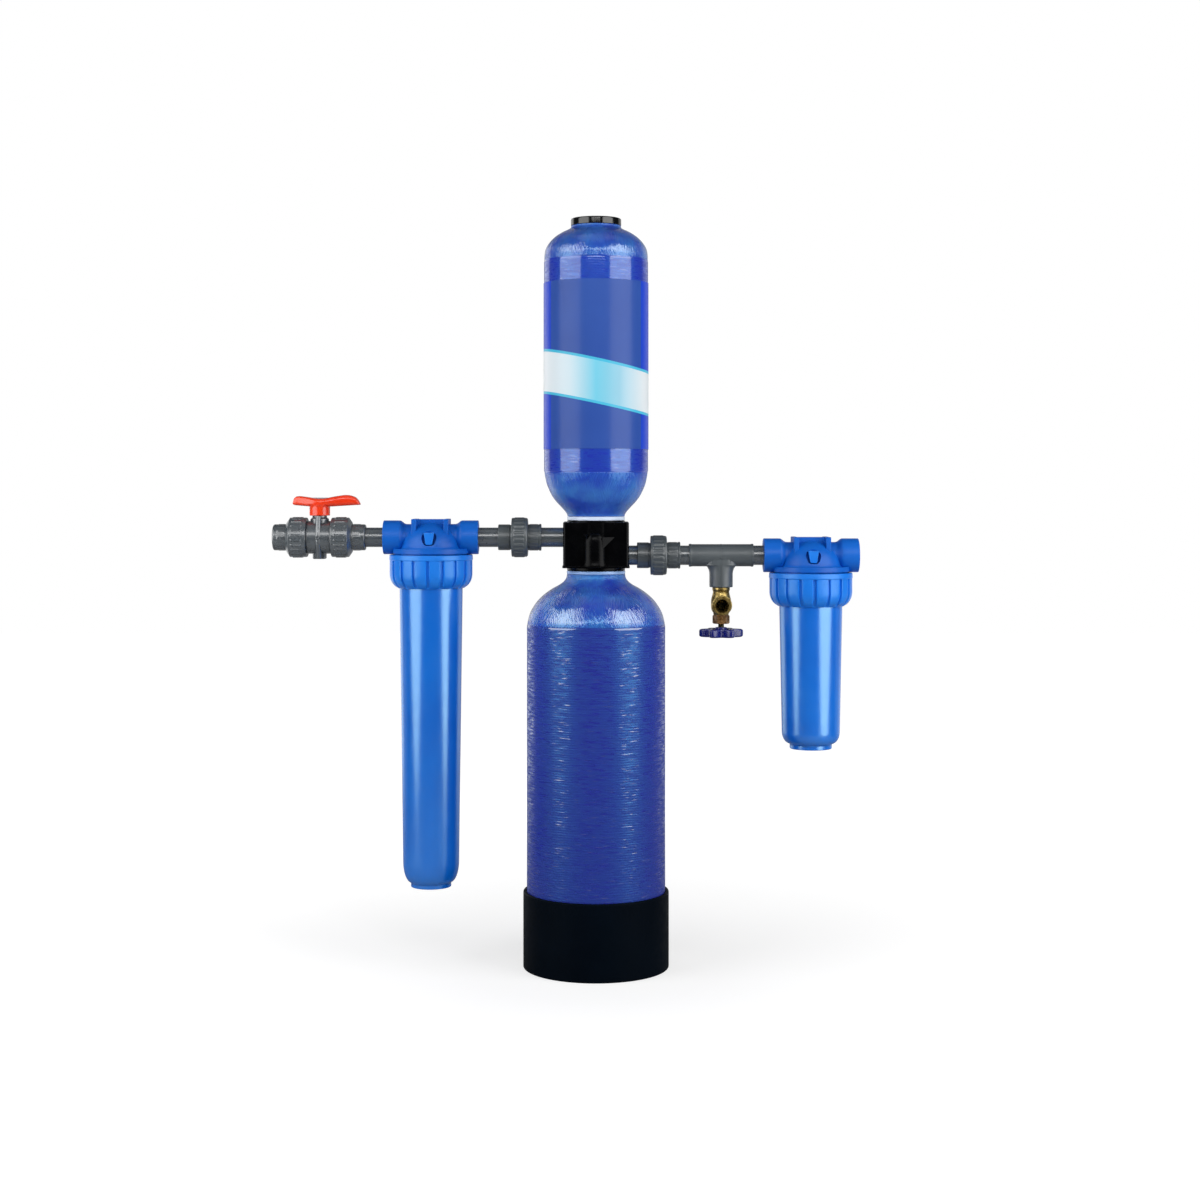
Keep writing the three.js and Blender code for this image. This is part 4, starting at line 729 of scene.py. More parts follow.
def lower_tank():
    """Closed dome below, hoop-wound side, and a dome that flares into the threaded neck."""
    tank, high, low = LOWER, LOWER_STRAIGHT_HIGH, LOWER_STRAIGHT_LOW
    wall, skin = tank.wall, tank.radius - WINDING.step
    collar_top = span("lower_gasket", Z)[0] - FIT.gap
    flare = angle_out(tank.collar + WINDING.flare, skin)
    foot = tank.dome * math.sqrt(1 - (tank.collar / skin) ** 2) + high
    outside = [
        *arc((0, low), (skin, tank.foot_dome), -90, 0, 12)[:-1], (skin, low),
        (tank.radius, low + WINDING.start),
        *rows_between(tank.radius, low + WINDING.margin, high - WINDING.margin, WINDING.row),
        (tank.radius, LOWER_PLACE.high - WINDING.step_height),
        *arc((0, high), (skin, tank.dome), angle_at(tank.wound_over, tank.dome), flare, ROUND.dome)[:-1],
        *bend(arc((0, high), (skin, tank.dome), flare, flare, 0)[0], (tank.collar, foot + WINDING.flare_end),
              (tank.collar, collar_top - WINDING.collar_edge), 8),
        (tank.collar, collar_top, WINDING.edge / 2),
    ]
    inside = [
        (tank.spigot, collar_top), (tank.spigot, LOWER_TOP, WINDING.edge), (tank.bore, LOWER_TOP),
        (tank.bore, high + tank.bore_low), *arc((0, high), (skin - wall, tank.dome - wall), 70, 0, 10),
        *arc((0, low), (skin - wall, tank.foot_dome - wall), 0, -90, 10),
    ]
    relief = strand_relief(tank.radius, low, LOWER_PLACE.high)
    dress("lower_tank", turned(outside + inside, ROUND.tank, relief), FINISHES.lower_tank)


def upper_tank():
    """Neck down, with a short second neck on top for the cap."""
    tank, high, low = UPPER, UPPER_STRAIGHT_HIGH, UPPER_STRAIGHT_LOW
    wall, skin = tank.wall, tank.radius - WINDING.step
    collar_low = span("upper_gasket", Z)[1] + FIT.gap
    flare = angle_out(tank.collar + WINDING.flare, skin)
    collar_top = low - tank.foot_dome * math.sqrt(1 - (tank.collar / skin) ** 2)
    neck_foot = high + tank.dome * math.sqrt(1 - (tank.neck / skin) ** 2)
    outside = [
        (tank.spigot, UPPER_FOOT, WINDING.edge), (tank.spigot, collar_low),
        (tank.collar, collar_low, WINDING.edge / 2),
        *bend((tank.collar, collar_low + WINDING.collar_edge), (tank.collar, collar_top - WINDING.flare_end),
              arc((0, low), (skin, tank.foot_dome), -flare, -flare, 0)[0], 8),
        *arc((0, low), (skin, tank.foot_dome), -flare, -angle_at(tank.wound_under, tank.foot_dome),
             ROUND.dome)[1:],
        (tank.radius, UPPER_PLACE.low + WINDING.step_height),
        *rows_between(tank.radius, low + WINDING.margin, high - WINDING.margin, WINDING.row),
        (tank.radius, UPPER_PLACE.high - WINDING.step_height), (skin, UPPER_PLACE.high), (skin, high),
        *arc((0, high), (skin, tank.dome), 0, angle_out(tank.neck + tank.neck_flare, skin), ROUND.dome)[1:],
        (tank.neck, neck_foot + WINDING.collar_edge, tank.neck_flare), (tank.neck, UPPER_TOP, WINDING.edge),
    ]
    inside = [
        (tank.neck_bore, UPPER_TOP), (tank.neck_bore, high + tank.neck_low),
        *arc((0, high), (skin - wall, tank.dome - wall), 60, 0, 10),
        *arc((0, low), (skin - wall, tank.foot_dome - wall), 0, -65, 10), (tank.bore, low - tank.bore_high),
        (tank.bore, UPPER_FOOT),
    ]
    relief = strand_relief(tank.radius, UPPER_PLACE.low, UPPER_PLACE.high)
    dress("upper_tank", turned(outside + inside, ROUND.tank, relief), FINISHES.upper_tank)


def tank_trim():
    """The two pale rings, the screw cap and the label sleeve."""
    for node, radius, finish in (("lower_gasket", GASKET.lower, FINISHES.ring_low),
                                 ("upper_gasket", GASKET.upper, FINISHES.ring_high)):
        dress(node, ring(GASKET.bore, radius, *span(node, Z), GASKET.edge, ROUND.tank), finish)
    low, high = span("top_cap", Z)
    rim, dish = low + CAP.plug_depth, high - CAP.dish
    dress("top_cap", turned([
        (0, low), (CAP.plug, low), (CAP.plug, rim), (CAP.radius, rim, CAP.foot), (CAP.radius, high, CAP.edge),
        (CAP.dish_radius, high, CAP.dish_edge), (CAP.dish_radius - CAP.dish_slope, dish, CAP.dish_foot),
        (0, dish),
    ], ROUND.tank), FINISHES.cap)
    film = ring(LABEL.radius, LABEL.radius + LABEL.thickness, *span("tank_label", Z), LABEL.thickness / 4,
                ROUND.tank)
    dress("tank_label", film, FINISHES.label)


def wedge(reach, top, low):
    """A web from the boss's side that sinks into the block's face at its far corner."""
    side = math.copysign(BOSS.radius * WEB.side_share, reach)
    points = np.array([(side, FIT.sunk, top), (side, FIT.sunk, low), (side, -WEB.proud, top),
                       (side, -WEB.proud * WEB.foot_share, low), (reach, FIT.sunk, top), (reach, 0, top)])
    return points, [[0, 2, 3, 1], [0, 4, 5, 2], [2, 5, 3], [3, 5, 1], [1, 5, 4], [0, 1, 4]]


def manifold():
    """The black block: lips above and below, a flange, a domed front boss with webs, two pipe ports."""
    size = MANIFOLD
    low, high = span("manifold", Z)
    block_low, block_high = low + size.bottom_lip, high - size.top_lip
    body = eased(prism(plan(size.half_width, size.half_depth, size.corner), block_low, block_high), size.edge)
    proud = size.flange_proud
    flange = prism(plan(size.half_width + proud, size.half_depth + proud, size.corner), block_low,
                   block_low + size.flange)
    lips = ring(size.chamber, size.lip, low, high, size.lip_edge, ROUND.housing)
    hub = turned([
        (0, 0), *arc((BOSS.radius + BOSS.foot, BOSS.foot_height), (BOSS.foot, BOSS.foot_height), 270, 180, 6),
        *arc((0, BOSS.top - BOSS.radius), (BOSS.radius, BOSS.radius), 0, 90, 10),
    ])
    reliefs = [placed(shape, BOSS.offset, -size.half_depth, block_low)
               for shape in (scaled(hub, y=BOSS.flat_share), wedge(*WEB.right), wedge(*WEB.left))]
    cuts = [rod(size.chamber, low - FIT.overrun, block_low + size.chamber_depth),
            rod(size.chamber, block_high - size.chamber_depth, high + FIT.overrun)]
    port = along_x(rod(SOCKET_BORE, size.half_width - size.port_depth, size.half_width + FIT.overrun))
    cuts += [placed(mirrored(port), z=LEFT_LINE), placed(port, z=RIGHT_LINE)]
    shape = combined(body, [eased(flange, size.flange_edge), lips, *reliefs], cuts)
    dress("manifold", shape, FINISHES.black)


def pipes():
    for node in BODY_OF:
        if node.startswith("pipe_"):
            pipe = along_x(ring(PIPE.bore, PIPE.radius, *span(node, X), PIPE.edge))
            dress(node, pipe, FINISHES.pvc, z=middle(node, Z))


def nut_about_x(radius, low, high, shape, mouth, lip, lip_low, grip):
    """A plastic union nut: grip bars outside, a threaded mouth, and a lip at its high end."""
    crown = high - shape.chamfer
    rows = rows_between(radius, low + NUT.start + grip.inset * NUT.start_share, crown - NUT.stop, NUT.row)
    relief = bars(grip, low + grip.inset, crown - grip.inset * NUT.stop_share, radius - FIT.skin,
                  phase=0.5 / grip.count)
    return along_x(turned([
        (mouth, low), (radius - NUT.foot_in, low, NUT.foot_edge), *rows, (radius, crown, NUT.crown_edge),
        (radius - shape.chamfer * shape.slope, high, NUT.mouth_edge), (lip, high), (lip, lip_low),
        (mouth, lip_low),
    ], grip.count * NUT.sides, relief))


def threaded_hub():
    """The union's hub that takes the nut's thread."""
    size, low, neck = UNION, -UNION.nut_half, UNION.hub - UNION.neck
    return along_x(turned([
        (SOCKET_BORE, -size.half), (size.hub, -size.half, size.edge),
        (size.hub, low - size.neck_low, size.neck_edge),
        (neck, low - size.neck_high), (neck, low), (size.thread, low), (size.thread, size.thread_high),
        (PIPE.bore, size.thread_high), (PIPE.bore, size.socket - size.half),
        (SOCKET_BORE, size.socket - size.half),
    ]))


def tail_hub(collar_high):
    """The union's hub that the nut's lip holds, with panels round it."""
    size, half, inner, rim = UNION, UNION.half, UNION.thread - FIT.gap, UNION.hub + UNION.rim
    panels = bars(UNION_PANEL, size.nut_half + size.panel_low, half - size.panel_high, size.hub - FIT.skin)
    return along_x(turned([
        (PIPE.bore, size.collar_from), (inner, size.collar_from), (inner, collar_high),
        (size.hub, collar_high),
        *rows_between(size.hub, size.nut_half + size.rows_low, half - size.rows_high, NUT.row),
        (size.hub, half - size.rim_low), (rim, half - size.rim_high), (rim, half, size.rim_edge),
        (SOCKET_BORE, half), (SOCKET_BORE, half - size.socket), (PIPE.bore, half - size.socket),
    ], size.sides, panels))


def unions():
    collar_high = UNION.collar_from + UNION.collar
    nut = nut_about_x(UNION.nut, -UNION.nut_half, UNION.nut_half, UNION, UNION.thread + FIT.gap,
                      UNION.hub + FIT.gap, collar_high + FIT.gap, UNION_GRIP)
    parts = {"_threaded_hub": threaded_hub(), "_tail_hub": tail_hub(collar_high), "_nut": nut}
    for name, line in (("left_union", LEFT_LINE), ("right_union", RIGHT_LINE)):
        for part, shape in parts.items():
            dress(name + part, shape, FINISHES.pvc_dark, middle(name + "_nut", X), line)


def tee():
    """A barrel with a flared branch below it; the pipes and the drain valve stand in its sockets."""
    size, half, reach = TEE, TEE.half, TEE.reach
    collar = half - size.collar_length
    knee = collar - size.collar_slope
    barrel = along_x(turned([
        (0, -half), (size.collar, -half, size.edge), (size.collar, -collar, size.collar_edge),
        (size.radius, -knee), (size.radius, knee), (size.collar, collar, size.collar_edge),
        (size.collar, half, size.edge), (0, half),
    ]))
    flare = arc((size.branch + size.flare, size.radius + size.flare_height - size.flare_sunk),
                (size.flare, size.flare_height), -90, -180, 8)

    def saddle(angle, radius, height):
        beyond = max(0, radius - size.branch)
        return radius - beyond + beyond * math.cos(angle) ** 2

    branch = turned([(0, 0), (size.branch + size.flare, size.flare_foot), *flare,
                     (size.branch, reach, size.edge), (0, reach)], relief=saddle)
    ridge = size.radius + size.seam
    hoop = along_x(rod(ridge, -size.seam, size.seam))
    seam = block((-size.seam, -ridge, size.seam_end - reach), (size.seam, size.radius, 0))
    end, depth = half + FIT.overrun, half - size.socket
    through = along_x(turned([
        (0, -end), (SOCKET_BORE, -end), (SOCKET_BORE, -depth), (PIPE.bore, -depth), (PIPE.bore, depth),
        (SOCKET_BORE, depth), (SOCKET_BORE, end), (0, end),
    ]))
    down = rod(size.drain_bore, -reach - FIT.overrun, size.drain_socket - reach)
    branch = scaled(branch, y=size.branch_depth_share, z=-1)
    dress("tee", combined(barrel, [branch, hoop, seam], [through, down]), FINISHES.tee, TEE_X, RIGHT_LINE)


def valve_ridge():
    """The round ridge down the front of the neck, the barrel and the boss."""
    half, root = VALVE.ridge, -VALVE.boss_depth / 2
    return lofted([[(x, y, height) for x, y in (*arc((0, half - crest), (half, half), 180, 360, 14),
                                                (half, root), (-half, root))] for height, crest in RIDGE])


def valve_body():
    size, half, thread_half = VALVE, VALVE.half, VALVE.thread_half
    edge, full = size.radius - size.shoulder, half - size.shoulder_length
    barrel = along_x(turned([
        (size.bore, -thread_half), (size.thread, -thread_half), (size.thread, -half), (edge, -half),
        (size.radius, -full, size.shoulder), (size.radius, full, size.shoulder), (edge, half),
        (size.thread, half), (size.thread, thread_half), (size.bore, thread_half),
    ]))
    neck = turned([
        (0, size.neck_low), (size.neck_foot, size.neck_low),
        (size.neck, size.neck_foot_high, size.neck_foot_edge),
        (size.neck, size.neck_shoulder, size.neck_edge),
        (size.neck_tip, size.neck_shoulder + size.neck_step, size.neck_tip_edge),
        (size.neck_tip, size.neck_top), (0, size.neck_top),
    ], ROUND.housing)
    boss = eased(block((-size.boss_half, -size.boss_depth, -size.boss_drop),
                       (size.boss_half, size.boss_depth, -size.boss_top)), size.boss_edge)
    ridge = valve_ridge()
    crest = max(far for height, far in RIDGE)
    tip = crest + size.nub_proud
    nub = to_front(turned([
        (0, 0), (size.nub, 0), (size.nub, tip, size.nub_edge), (size.nub_dimple, tip, size.dimple_edge),
        (size.nub_dimple - size.dimple_edge, crest), (0, crest),
    ], ROUND.small))
    hole = rod(size.hole, -size.boss_drop - FIT.overrun, size.hole_depth - size.boss_drop, ROUND.small)
    adds = [neck, boss, ridge, twisted(ridge, 180, "Z"), nub, twisted(nub, 180, "Z")]
    dress("valve_body", combined(barrel, adds, [hole]), FINISHES.pvc, VALVE_X, LEFT_LINE)


def valve_ends():
    end, face, inner = VALVE_END, VALVE_END.reach - VALVE_END.edge, VALVE.thread - FIT.gap
    panels = bars(VALVE_PANEL, end.panel_low, face - end.panel_high, end.radius - FIT.skin)
    connector = along_x(turned([
        (VALVE.bore, end.tail), (inner, end.tail), (inner, end.low), (end.radius, end.low),
        *rows_between(end.radius, end.rows_low, face - end.rows_high, end.row),
        (end.radius, end.reach, end.edge),
        (SOCKET_BORE + end.mouth, end.reach, end.mouth_edge), (SOCKET_BORE, end.reach - end.socket),
        (VALVE.bore, end.reach - end.socket),
    ], end.sides, panels))
    nut = nut_about_x(VALVE_NUT.radius, VALVE_NUT.low, VALVE_NUT.low + VALVE_NUT.length, VALVE_NUT,
                      VALVE.thread + FIT.gap, end.radius + FIT.gap, end.low + FIT.gap, VALVE_GRIP)
    for node, shape in (("valve_end_right", connector), ("valve_nut_right", nut),
                        ("valve_end_left", mirrored(connector)), ("valve_nut_left", mirrored(nut))):
        dress(node, shape, FINISHES.pvc, VALVE_X, LEFT_LINE)


def smooth_curve(places, values, fine):
    """Values between stations, along a curve that passes through each of them without a corner."""
    slopes = np.gradient(values, places)
    result = []
    for x in fine:
        i = min(max(int(np.searchsorted(places, x)) - 1, 0), len(places) - 2)
        step = places[i + 1] - places[i]
        t = (x - places[i]) / step
        result.append((2 * t ** 3 - 3 * t ** 2 + 1) * values[i] + (t ** 3 - 2 * t ** 2 + t) * step * slopes[i]
                      + (3 * t ** 2 - 2 * t ** 3) * values[i + 1] + (t ** 3 - t ** 2) * step * slopes[i + 1])
    return np.array(result)


def wing():
    """The handle's wing, with a squarish section at each of its stations."""
    stations = np.array(WING)
    fine = np.linspace(stations[0][0], stations[-1][0], WING_STATIONS)
    low, high, half = (smooth_curve(stations[:, 0], stations[:, k], fine) for k in (1, 2, 3))
    sections = []
    for x, bottom, top, width in zip(fine, low, high, half):
        sections.append([])
        for i in range(SECTION_POINTS):
            angle = 2 * math.pi * i / SECTION_POINTS
            across, up = (math.copysign(abs(part) ** share, part)
                          for part, share in zip((math.cos(angle), math.sin(angle)), SQUARE_SHARES))
            sections[-1].append((x, across * width, (bottom + top) / 2 + up * (top - bottom) / 2))
    return lofted(sections)


def handle():
    """A hub with a two-sided wing, hollowed on top, where a grey key lies."""
    size, side = HANDLE, HANDLE.recess_side
    hub = turned([(0, size.hub_low), (size.hub, size.hub_low, size.edge),
                  (size.hub, size.hub_waist, size.hub_waist_edge), (size.hub + size.hub_flare, size.hub_top),
                  (0, size.hub_top)])
    floor = size.insert_top - size.recess_deep
    recess = prism([(-size.recess_half, 0, size.recess_tip), (-side, -size.recess_width, size.recess_edge),
                    (side, -size.recess_width, size.recess_edge), (size.recess_half, 0, size.recess_tip),
                    (side, size.recess_width, size.recess_edge),
                    (-side, size.recess_width, size.recess_edge)],
                   floor, size.recess_top)
    bore = rod(size.bore, size.hub_low - FIT.overrun, size.hub_low + size.bore_depth)
    dress("valve_handle", combined(wing(), [hub], [recess, bore]), FINISHES.red, VALVE_X, LEFT_LINE)
    points = recess[0] * np.array(KEY_SHARES)
    points[:, Z] = np.where(points[:, Z] > size.insert_top, size.insert_top + size.key_rise,
                            floor + size.key_gap)
    key = placed(eased((points, recess[1]), size.key_edge), VALVE_X, z=LEFT_LINE)
    finished("handle_key_insert", key, FINISHES.insert, "valve_handle", SHARP.key)


def button_outline(grow, corner):
    """The button's outline, wider at the top, grown by a gap on each side."""
    top, bottom, height = BUTTON.half_top + grow, BUTTON.half_bottom + grow, BUTTON.half_height + grow
    return [(-bottom, -height, corner), (bottom, -height, corner), (top, height, corner * 0.5),
            (-top, height, corner * 0.5)]


def head_dome(flange_low):
    """The dome and its flange, with a seam under the flange and a small lip on it."""
    size, foot = HEAD, -HEAD.dome_foot
    seam, lip, rim = size.flange - size.seam, size.flange - size.lip, foot + size.lip_height
    return turned([
        (0, flange_low), (seam, flange_low), (seam, flange_low + size.seam_height),
        (size.flange, flange_low + size.seam_height, size.flange_edge), (size.flange, rim, size.flange_edge),
        (lip, rim, size.lip_edge), (lip, foot),
        *bend((size.dome + size.dome_flare, foot), (size.dome, foot + size.flare_knee),
              (size.dome - size.flare_in, foot + size.flare_rise), 5),
        *arc((0, foot), (size.dome, size.dome_rise), 12, 90, 20),
    ], ROUND.housing)


def head_skirt(skirt_low, top):
    """The skirt under the flange, with its thread."""
    size, end = HEAD, HEAD.thread_end

    def thread(angle, radius, height):
        turn = height / size.pitch + angle / (2 * math.pi)
        depth = smooth_step(2 * abs(turn - round(turn)))
        return radius - size.thread * depth if radius > size.skirt_bore else radius

    return turned([(size.skirt_bore, skirt_low), (size.skirt, skirt_low),
                   *rows_between(size.skirt, skirt_low + end, top - end, size.thread_row),
                   (size.skirt, top + end), (size.skirt_bore, top + end)], ROUND.housing, thread)


def button_hollows():
    """What is cut from the dome round the button: a recess, the pocket below it and a scoop over it."""
    left_half = [(-x, y, setback) for x, y, setback in reversed(RECESS)]
    recess = prism(RECESS + left_half, BUTTON.recess_floor, HEAD.dome + FIT.overrun)
    scoop = turned(arc((0, 0), (BUTTON.scoop, BUTTON.scoop), -90, 90, 12), ROUND.small)
    scoop = placed(scaled(scoop, y=BUTTON.scoop_share), 0, BUTTON.scoop_rise, BUTTON.scoop_out)
    pocket = prism(button_outline(BUTTON.pocket_gap, BUTTON.pocket_corner),
                   BUTTON.front - BUTTON.length - BUTTON.pocket_depth, BUTTON.recess_floor + FIT.sunk)
    return [placed(to_front(shape), z=-BUTTON.below) for shape in (recess, pocket, scoop)]


def head_boss():
    """The mounting boss on top, its ribs and web, and the four holes in its ribs."""
    size, top, overrun = HEAD, HEAD.boss_top, FIT.overrun
    inner = size.boss_half - size.rib
    ribs = [eased(block((min(side * inner, side * size.boss_half), -size.boss_depth, 0),
                        (max(side * inner, side * size.boss_half), size.boss_depth, top)), size.edge)
            for side in (-1, 1)]
    reach = inner + size.web_into
    web = block((-reach, -size.web, 0), (reach, size.web, top - size.web_drop))
    hole_x, hole_y = size.boss_half - size.rib / 2, size.boss_depth - size.hole_inset
    holes = [placed(rod(size.hole, top - size.hole_depth, top + overrun, ROUND.small), x, y)
             for x in (-hole_x, hole_x) for y in (-hole_y, hole_y)]
    return [*ribs, web], holes


def head_shape():
    """The housing's head: a dome over a flange, two ports, a mounting boss and a threaded skirt."""
    size, reach, port_end = HEAD, HEAD.reach, HEAD.reach - HEAD.length
    flange_low = -size.dome_foot - size.flange_height
    skirt_low = flange_low - size.skirt_length
    port = along_x(turned([
        (0, 0), (size.barrel, 0), (size.barrel, port_end - size.taper, size.taper_edge),
        (size.port, port_end, size.port_edge), (size.port, reach, size.edge), (0, reach),
    ]))
    socket_floor, end = reach - size.socket, reach + FIT.overrun
    socket = along_x(turned([
        (0, 0), (size.passage, 0), (size.passage, socket_floor), (SOCKET_BORE, socket_floor),
        (SOCKET_BORE, reach - size.mouth), (SOCKET_BORE + size.mouth, end), (0, end),
    ]))
    low = skirt_low - FIT.overrun
    chamber = turned([(0, low), (size.skirt_bore, low), (size.skirt_bore, flange_low),
                      (size.chamber, flange_low), (size.chamber, -size.chamber_top),
                      (0, -size.chamber_top)], ROUND.housing)
    boss, holes = head_boss()
    return combined(head_dome(flange_low), [port, mirrored(port), *boss, head_skirt(skirt_low, flange_low)],
                    [socket, mirrored(socket), chamber, *button_hollows(), *holes])


def button_shape():
    face = prism(button_outline(0, BUTTON.corner), BUTTON.front - BUTTON.length, BUTTON.front)
    return placed(to_front(eased(face, BUTTON.edge, SHARP.button)), z=-BUTTON.below)


def ring_nut_shape():
    """The threaded ring: a plain rim over wide grip lugs that round in at the bottom."""
    nut = RING_NUT
    top = -HEAD.dome_foot - HEAD.flange_height - FIT.gap
    low, rim_low = top - nut.length, top - nut.rim_height
    round_top = low + nut.round

    def grooves(angle, radius, height):
        if radius < nut.foot or not low + nut.groove_end < height < rim_low - nut.groove_end:
            return radius
        turn = (angle / (2 * math.pi)) * nut.lugs + 0.5
        across = abs(turn - round(turn)) * 2 * math.pi * radius / nut.lugs
        inside = smooth_step((nut.groove / 2 - across) / nut.flank + 0.5)
        return radius - nut.groove_depth * inside * min((height - low) / nut.run_out, 1)

    return turned([
        (nut.lip_bore, low + nut.foot_edge), (nut.foot, low, nut.foot_edge),
        *arc((nut.bottom, round_top), (nut.body - nut.bottom, nut.round), -72, 0, 14),
        *rows_between(nut.body, round_top + nut.row_low, rim_low - nut.row_high, nut.row),
        (nut.body, rim_low - nut.body_gap), (nut.rim - nut.rim_in, rim_low, nut.rim_in),
        (nut.rim, rim_low + nut.rim_foot, nut.rim_foot_edge), (nut.rim - nut.top_in, top, nut.edge),
        (nut.bore, top), (nut.bore, low + nut.lip), (nut.lip_bore, low + nut.lip),
    ], nut.lugs * nut.lug_sides, grooves)


def bowl_shape(size, low, top):
    """The bowl: a flange in the nut, a long taper, and a rounded end on a low foot."""
    foot, foot_top = size.foot, low + size.foot_height
    round_top, floor, neck = foot_top + size.round, low + BOWL.floor, top - BOWL.flange_height
    slope = (BOWL.radius - size.low) / (neck - round_top)
    heights = [z for _, z in rows_between(0, round_top, neck, BOWL.row)[1:-1]]
    side = [(size.low + slope * (z - round_top), z) for z in heights]
    inner = foot - BOWL.foot_wall
    return turned([
        (0, low + BOWL.foot_hollow), (inner, low + BOWL.foot_hollow, BOWL.foot_edge),
        (foot - BOWL.foot_rim, low, BOWL.foot_rim_edge), (foot, low, BOWL.foot_edge),
        (foot, foot_top - BOWL.foot_step),
        *arc((foot, round_top), (size.low - foot, size.round), -90, 0, 18)[1:], *side, (BOWL.radius, neck),
        (BOWL.flange, neck), (BOWL.flange, top), (BOWL.radius - BOWL.wall, top),
        *arc((inner, round_top), (size.low - BOWL.wall - inner, round_top - floor), 0, -90, 12), (0, floor),
    ], ROUND.housing)


def housings():
    head, button, nut = head_shape(), button_shape(), ring_nut_shape()
    for name, line, size in (("prefilter", LEFT_LINE, LONG_BOWL), ("postfilter", RIGHT_LINE, SHORT_BOWL)):
        low, top = (edge - line for edge in span(name + "_bowl", Z))
        for part, shape, finish in (("_head", head, FINISHES.head), ("_button", button, FINISHES.nut),
                                    ("_ring_nut", nut, FINISHES.nut),
                                    ("_bowl", bowl_shape(size, low, top), FINISHES.bowl)):
            dress(name + part, shape, finish, middle(name + "_head", X), line)


def drain_body():
    """The brass body, with its spigot in the tee and its outlet facing the front."""
    size, small, reach = DRAIN, ROUND.small, DRAIN.reach
    body_top = -size.neck_length
    body_low = body_top - size.length
    low = body_low - size.lower_length
    body = turned([
        (0, size.spigot_length), (size.spigot, size.spigot_length, size.neck_edge), (size.spigot, 0),
        (size.neck, 0, size.neck_edge), (size.neck, -size.waist_top, size.outlet_in),
        (size.neck - size.waist, -size.waist_low, size.waist_edge),
        (size.neck, body_top + size.shoulder, size.waist_edge),
        (size.body, body_top - size.shoulder_drop, size.shoulder),
        (size.body, body_low + size.belly, size.belly),
        (size.lower + size.lower_step, body_low, size.outlet_in), (size.lower, low, size.lower_step),
        (0, low),
    ], small)
    waist, lip = size.outlet - size.outlet_in, reach - size.lip_length
    spout = turned([
        (0, 0), (waist, 0), (waist, lip, size.outlet_in),
        (size.outlet, lip + size.outlet_in, size.lower_step),
        (size.outlet, reach, size.outlet_edge), (0, reach),
    ], small)
    end = reach + size.bore_drop
    bore = turned([(0, size.bore_low), (size.bore - size.bore_in, size.bore_low), (size.bore, size.bore_knee),
                   (size.bore + size.bore_flare, lip), (size.bore + size.bore_mouth, end), (0, end)], small)
    spout = placed(to_front(spout), z=-size.outlet_drop)
    bore = placed(to_front(bore), z=-size.outlet_drop - size.bore_drop)
    chamber = rod(size.chamber, low - FIT.overrun, low + size.chamber_depth, small)
    dress("drain_body", combined(body, [spout], [bore, chamber]), FINISHES.brass, TEE_X, DRAIN_TOP)


def hex_nut(radius, low, high, chamfer, corner):
    """A hexagon whose corners are chamfered on both faces."""
    turns = [math.radians(60 * i) for i in range(6)]
    flat = [(radius * math.cos(turn), radius * math.sin(turn)) for turn in turns]
    narrow, wide = radius - chamfer - corner, radius + corner
    foot, top = low - FIT.sunk, high + FIT.sunk
    cone = turned([(0, foot), (narrow, foot), (wide, low + chamfer), (wide, high - chamfer),
                   (narrow, top), (0, top)])
    return combined(prism(flat, low, high), limits=[cone])


def packing_nut():
    nut, small = PACKING, ROUND.small
    low, high = (edge - DRAIN_TOP for edge in span("drain_packing_nut", Z))
    high -= nut.spigot_length
    spigot = rod(nut.spigot, high - FIT.sunk, high + nut.spigot_length, small)
    boss_low, boss_high = low - FIT.axis, low + nut.boss_height
    boss = turned([(0, boss_low), (nut.boss, boss_low), (nut.boss_top, boss_high), (0, boss_high)], small)
    bore = rod(nut.bore, low - FIT.overrun, high + nut.spigot_length + FIT.overrun, small)
    shape = combined(hex_nut(nut.radius, low, high, nut.chamfer, nut.corner), [spigot, boss], [bore])
    dress("drain_packing_nut", shape, FINISHES.brass_warm, TEE_X, DRAIN_TOP)


def drain_stem():
    low, high = span("drain_stem", Z)
    neck = high - STEM.head_height
    stem = turned([(0, low), (STEM.radius, low, STEM.edge), (STEM.radius, neck, STEM.edge),
                   (STEM.head, neck, STEM.head_edge), (STEM.head, high, STEM.head_edge),
                   (0, high)], ROUND.small)
    bore_top = span("drain_wheel_screw", Z)[1] + FIT.gap
    bore = rod(SCREW.shank + FIT.gap, low - FIT.overrun, bore_top, ROUND.small)
    # The stem takes the darkened brass, which paints the shade between the packing nut and the wheel.
    dress("drain_stem", combined(stem, cuts=[bore]), FINISHES.brass_dark, TEE_X)


def wheel_rows(low, high):
    """The wheel's section: a thick squarish rim and a thinner web."""
    wheel, centre = WHEEL, (low + high) / 2
    inner = wheel.radius * wheel.web_share
    rim = inner + wheel.web
    return [
        (0, centre - wheel.web), (inner, centre - wheel.web, wheel.web_edge), (rim, low, wheel.edge),
        (wheel.radius, low, wheel.edge), (wheel.radius, high, wheel.edge), (rim, high, wheel.edge),
        (inner, centre + wheel.web, wheel.web_edge), (0, centre + wheel.web),
    ]


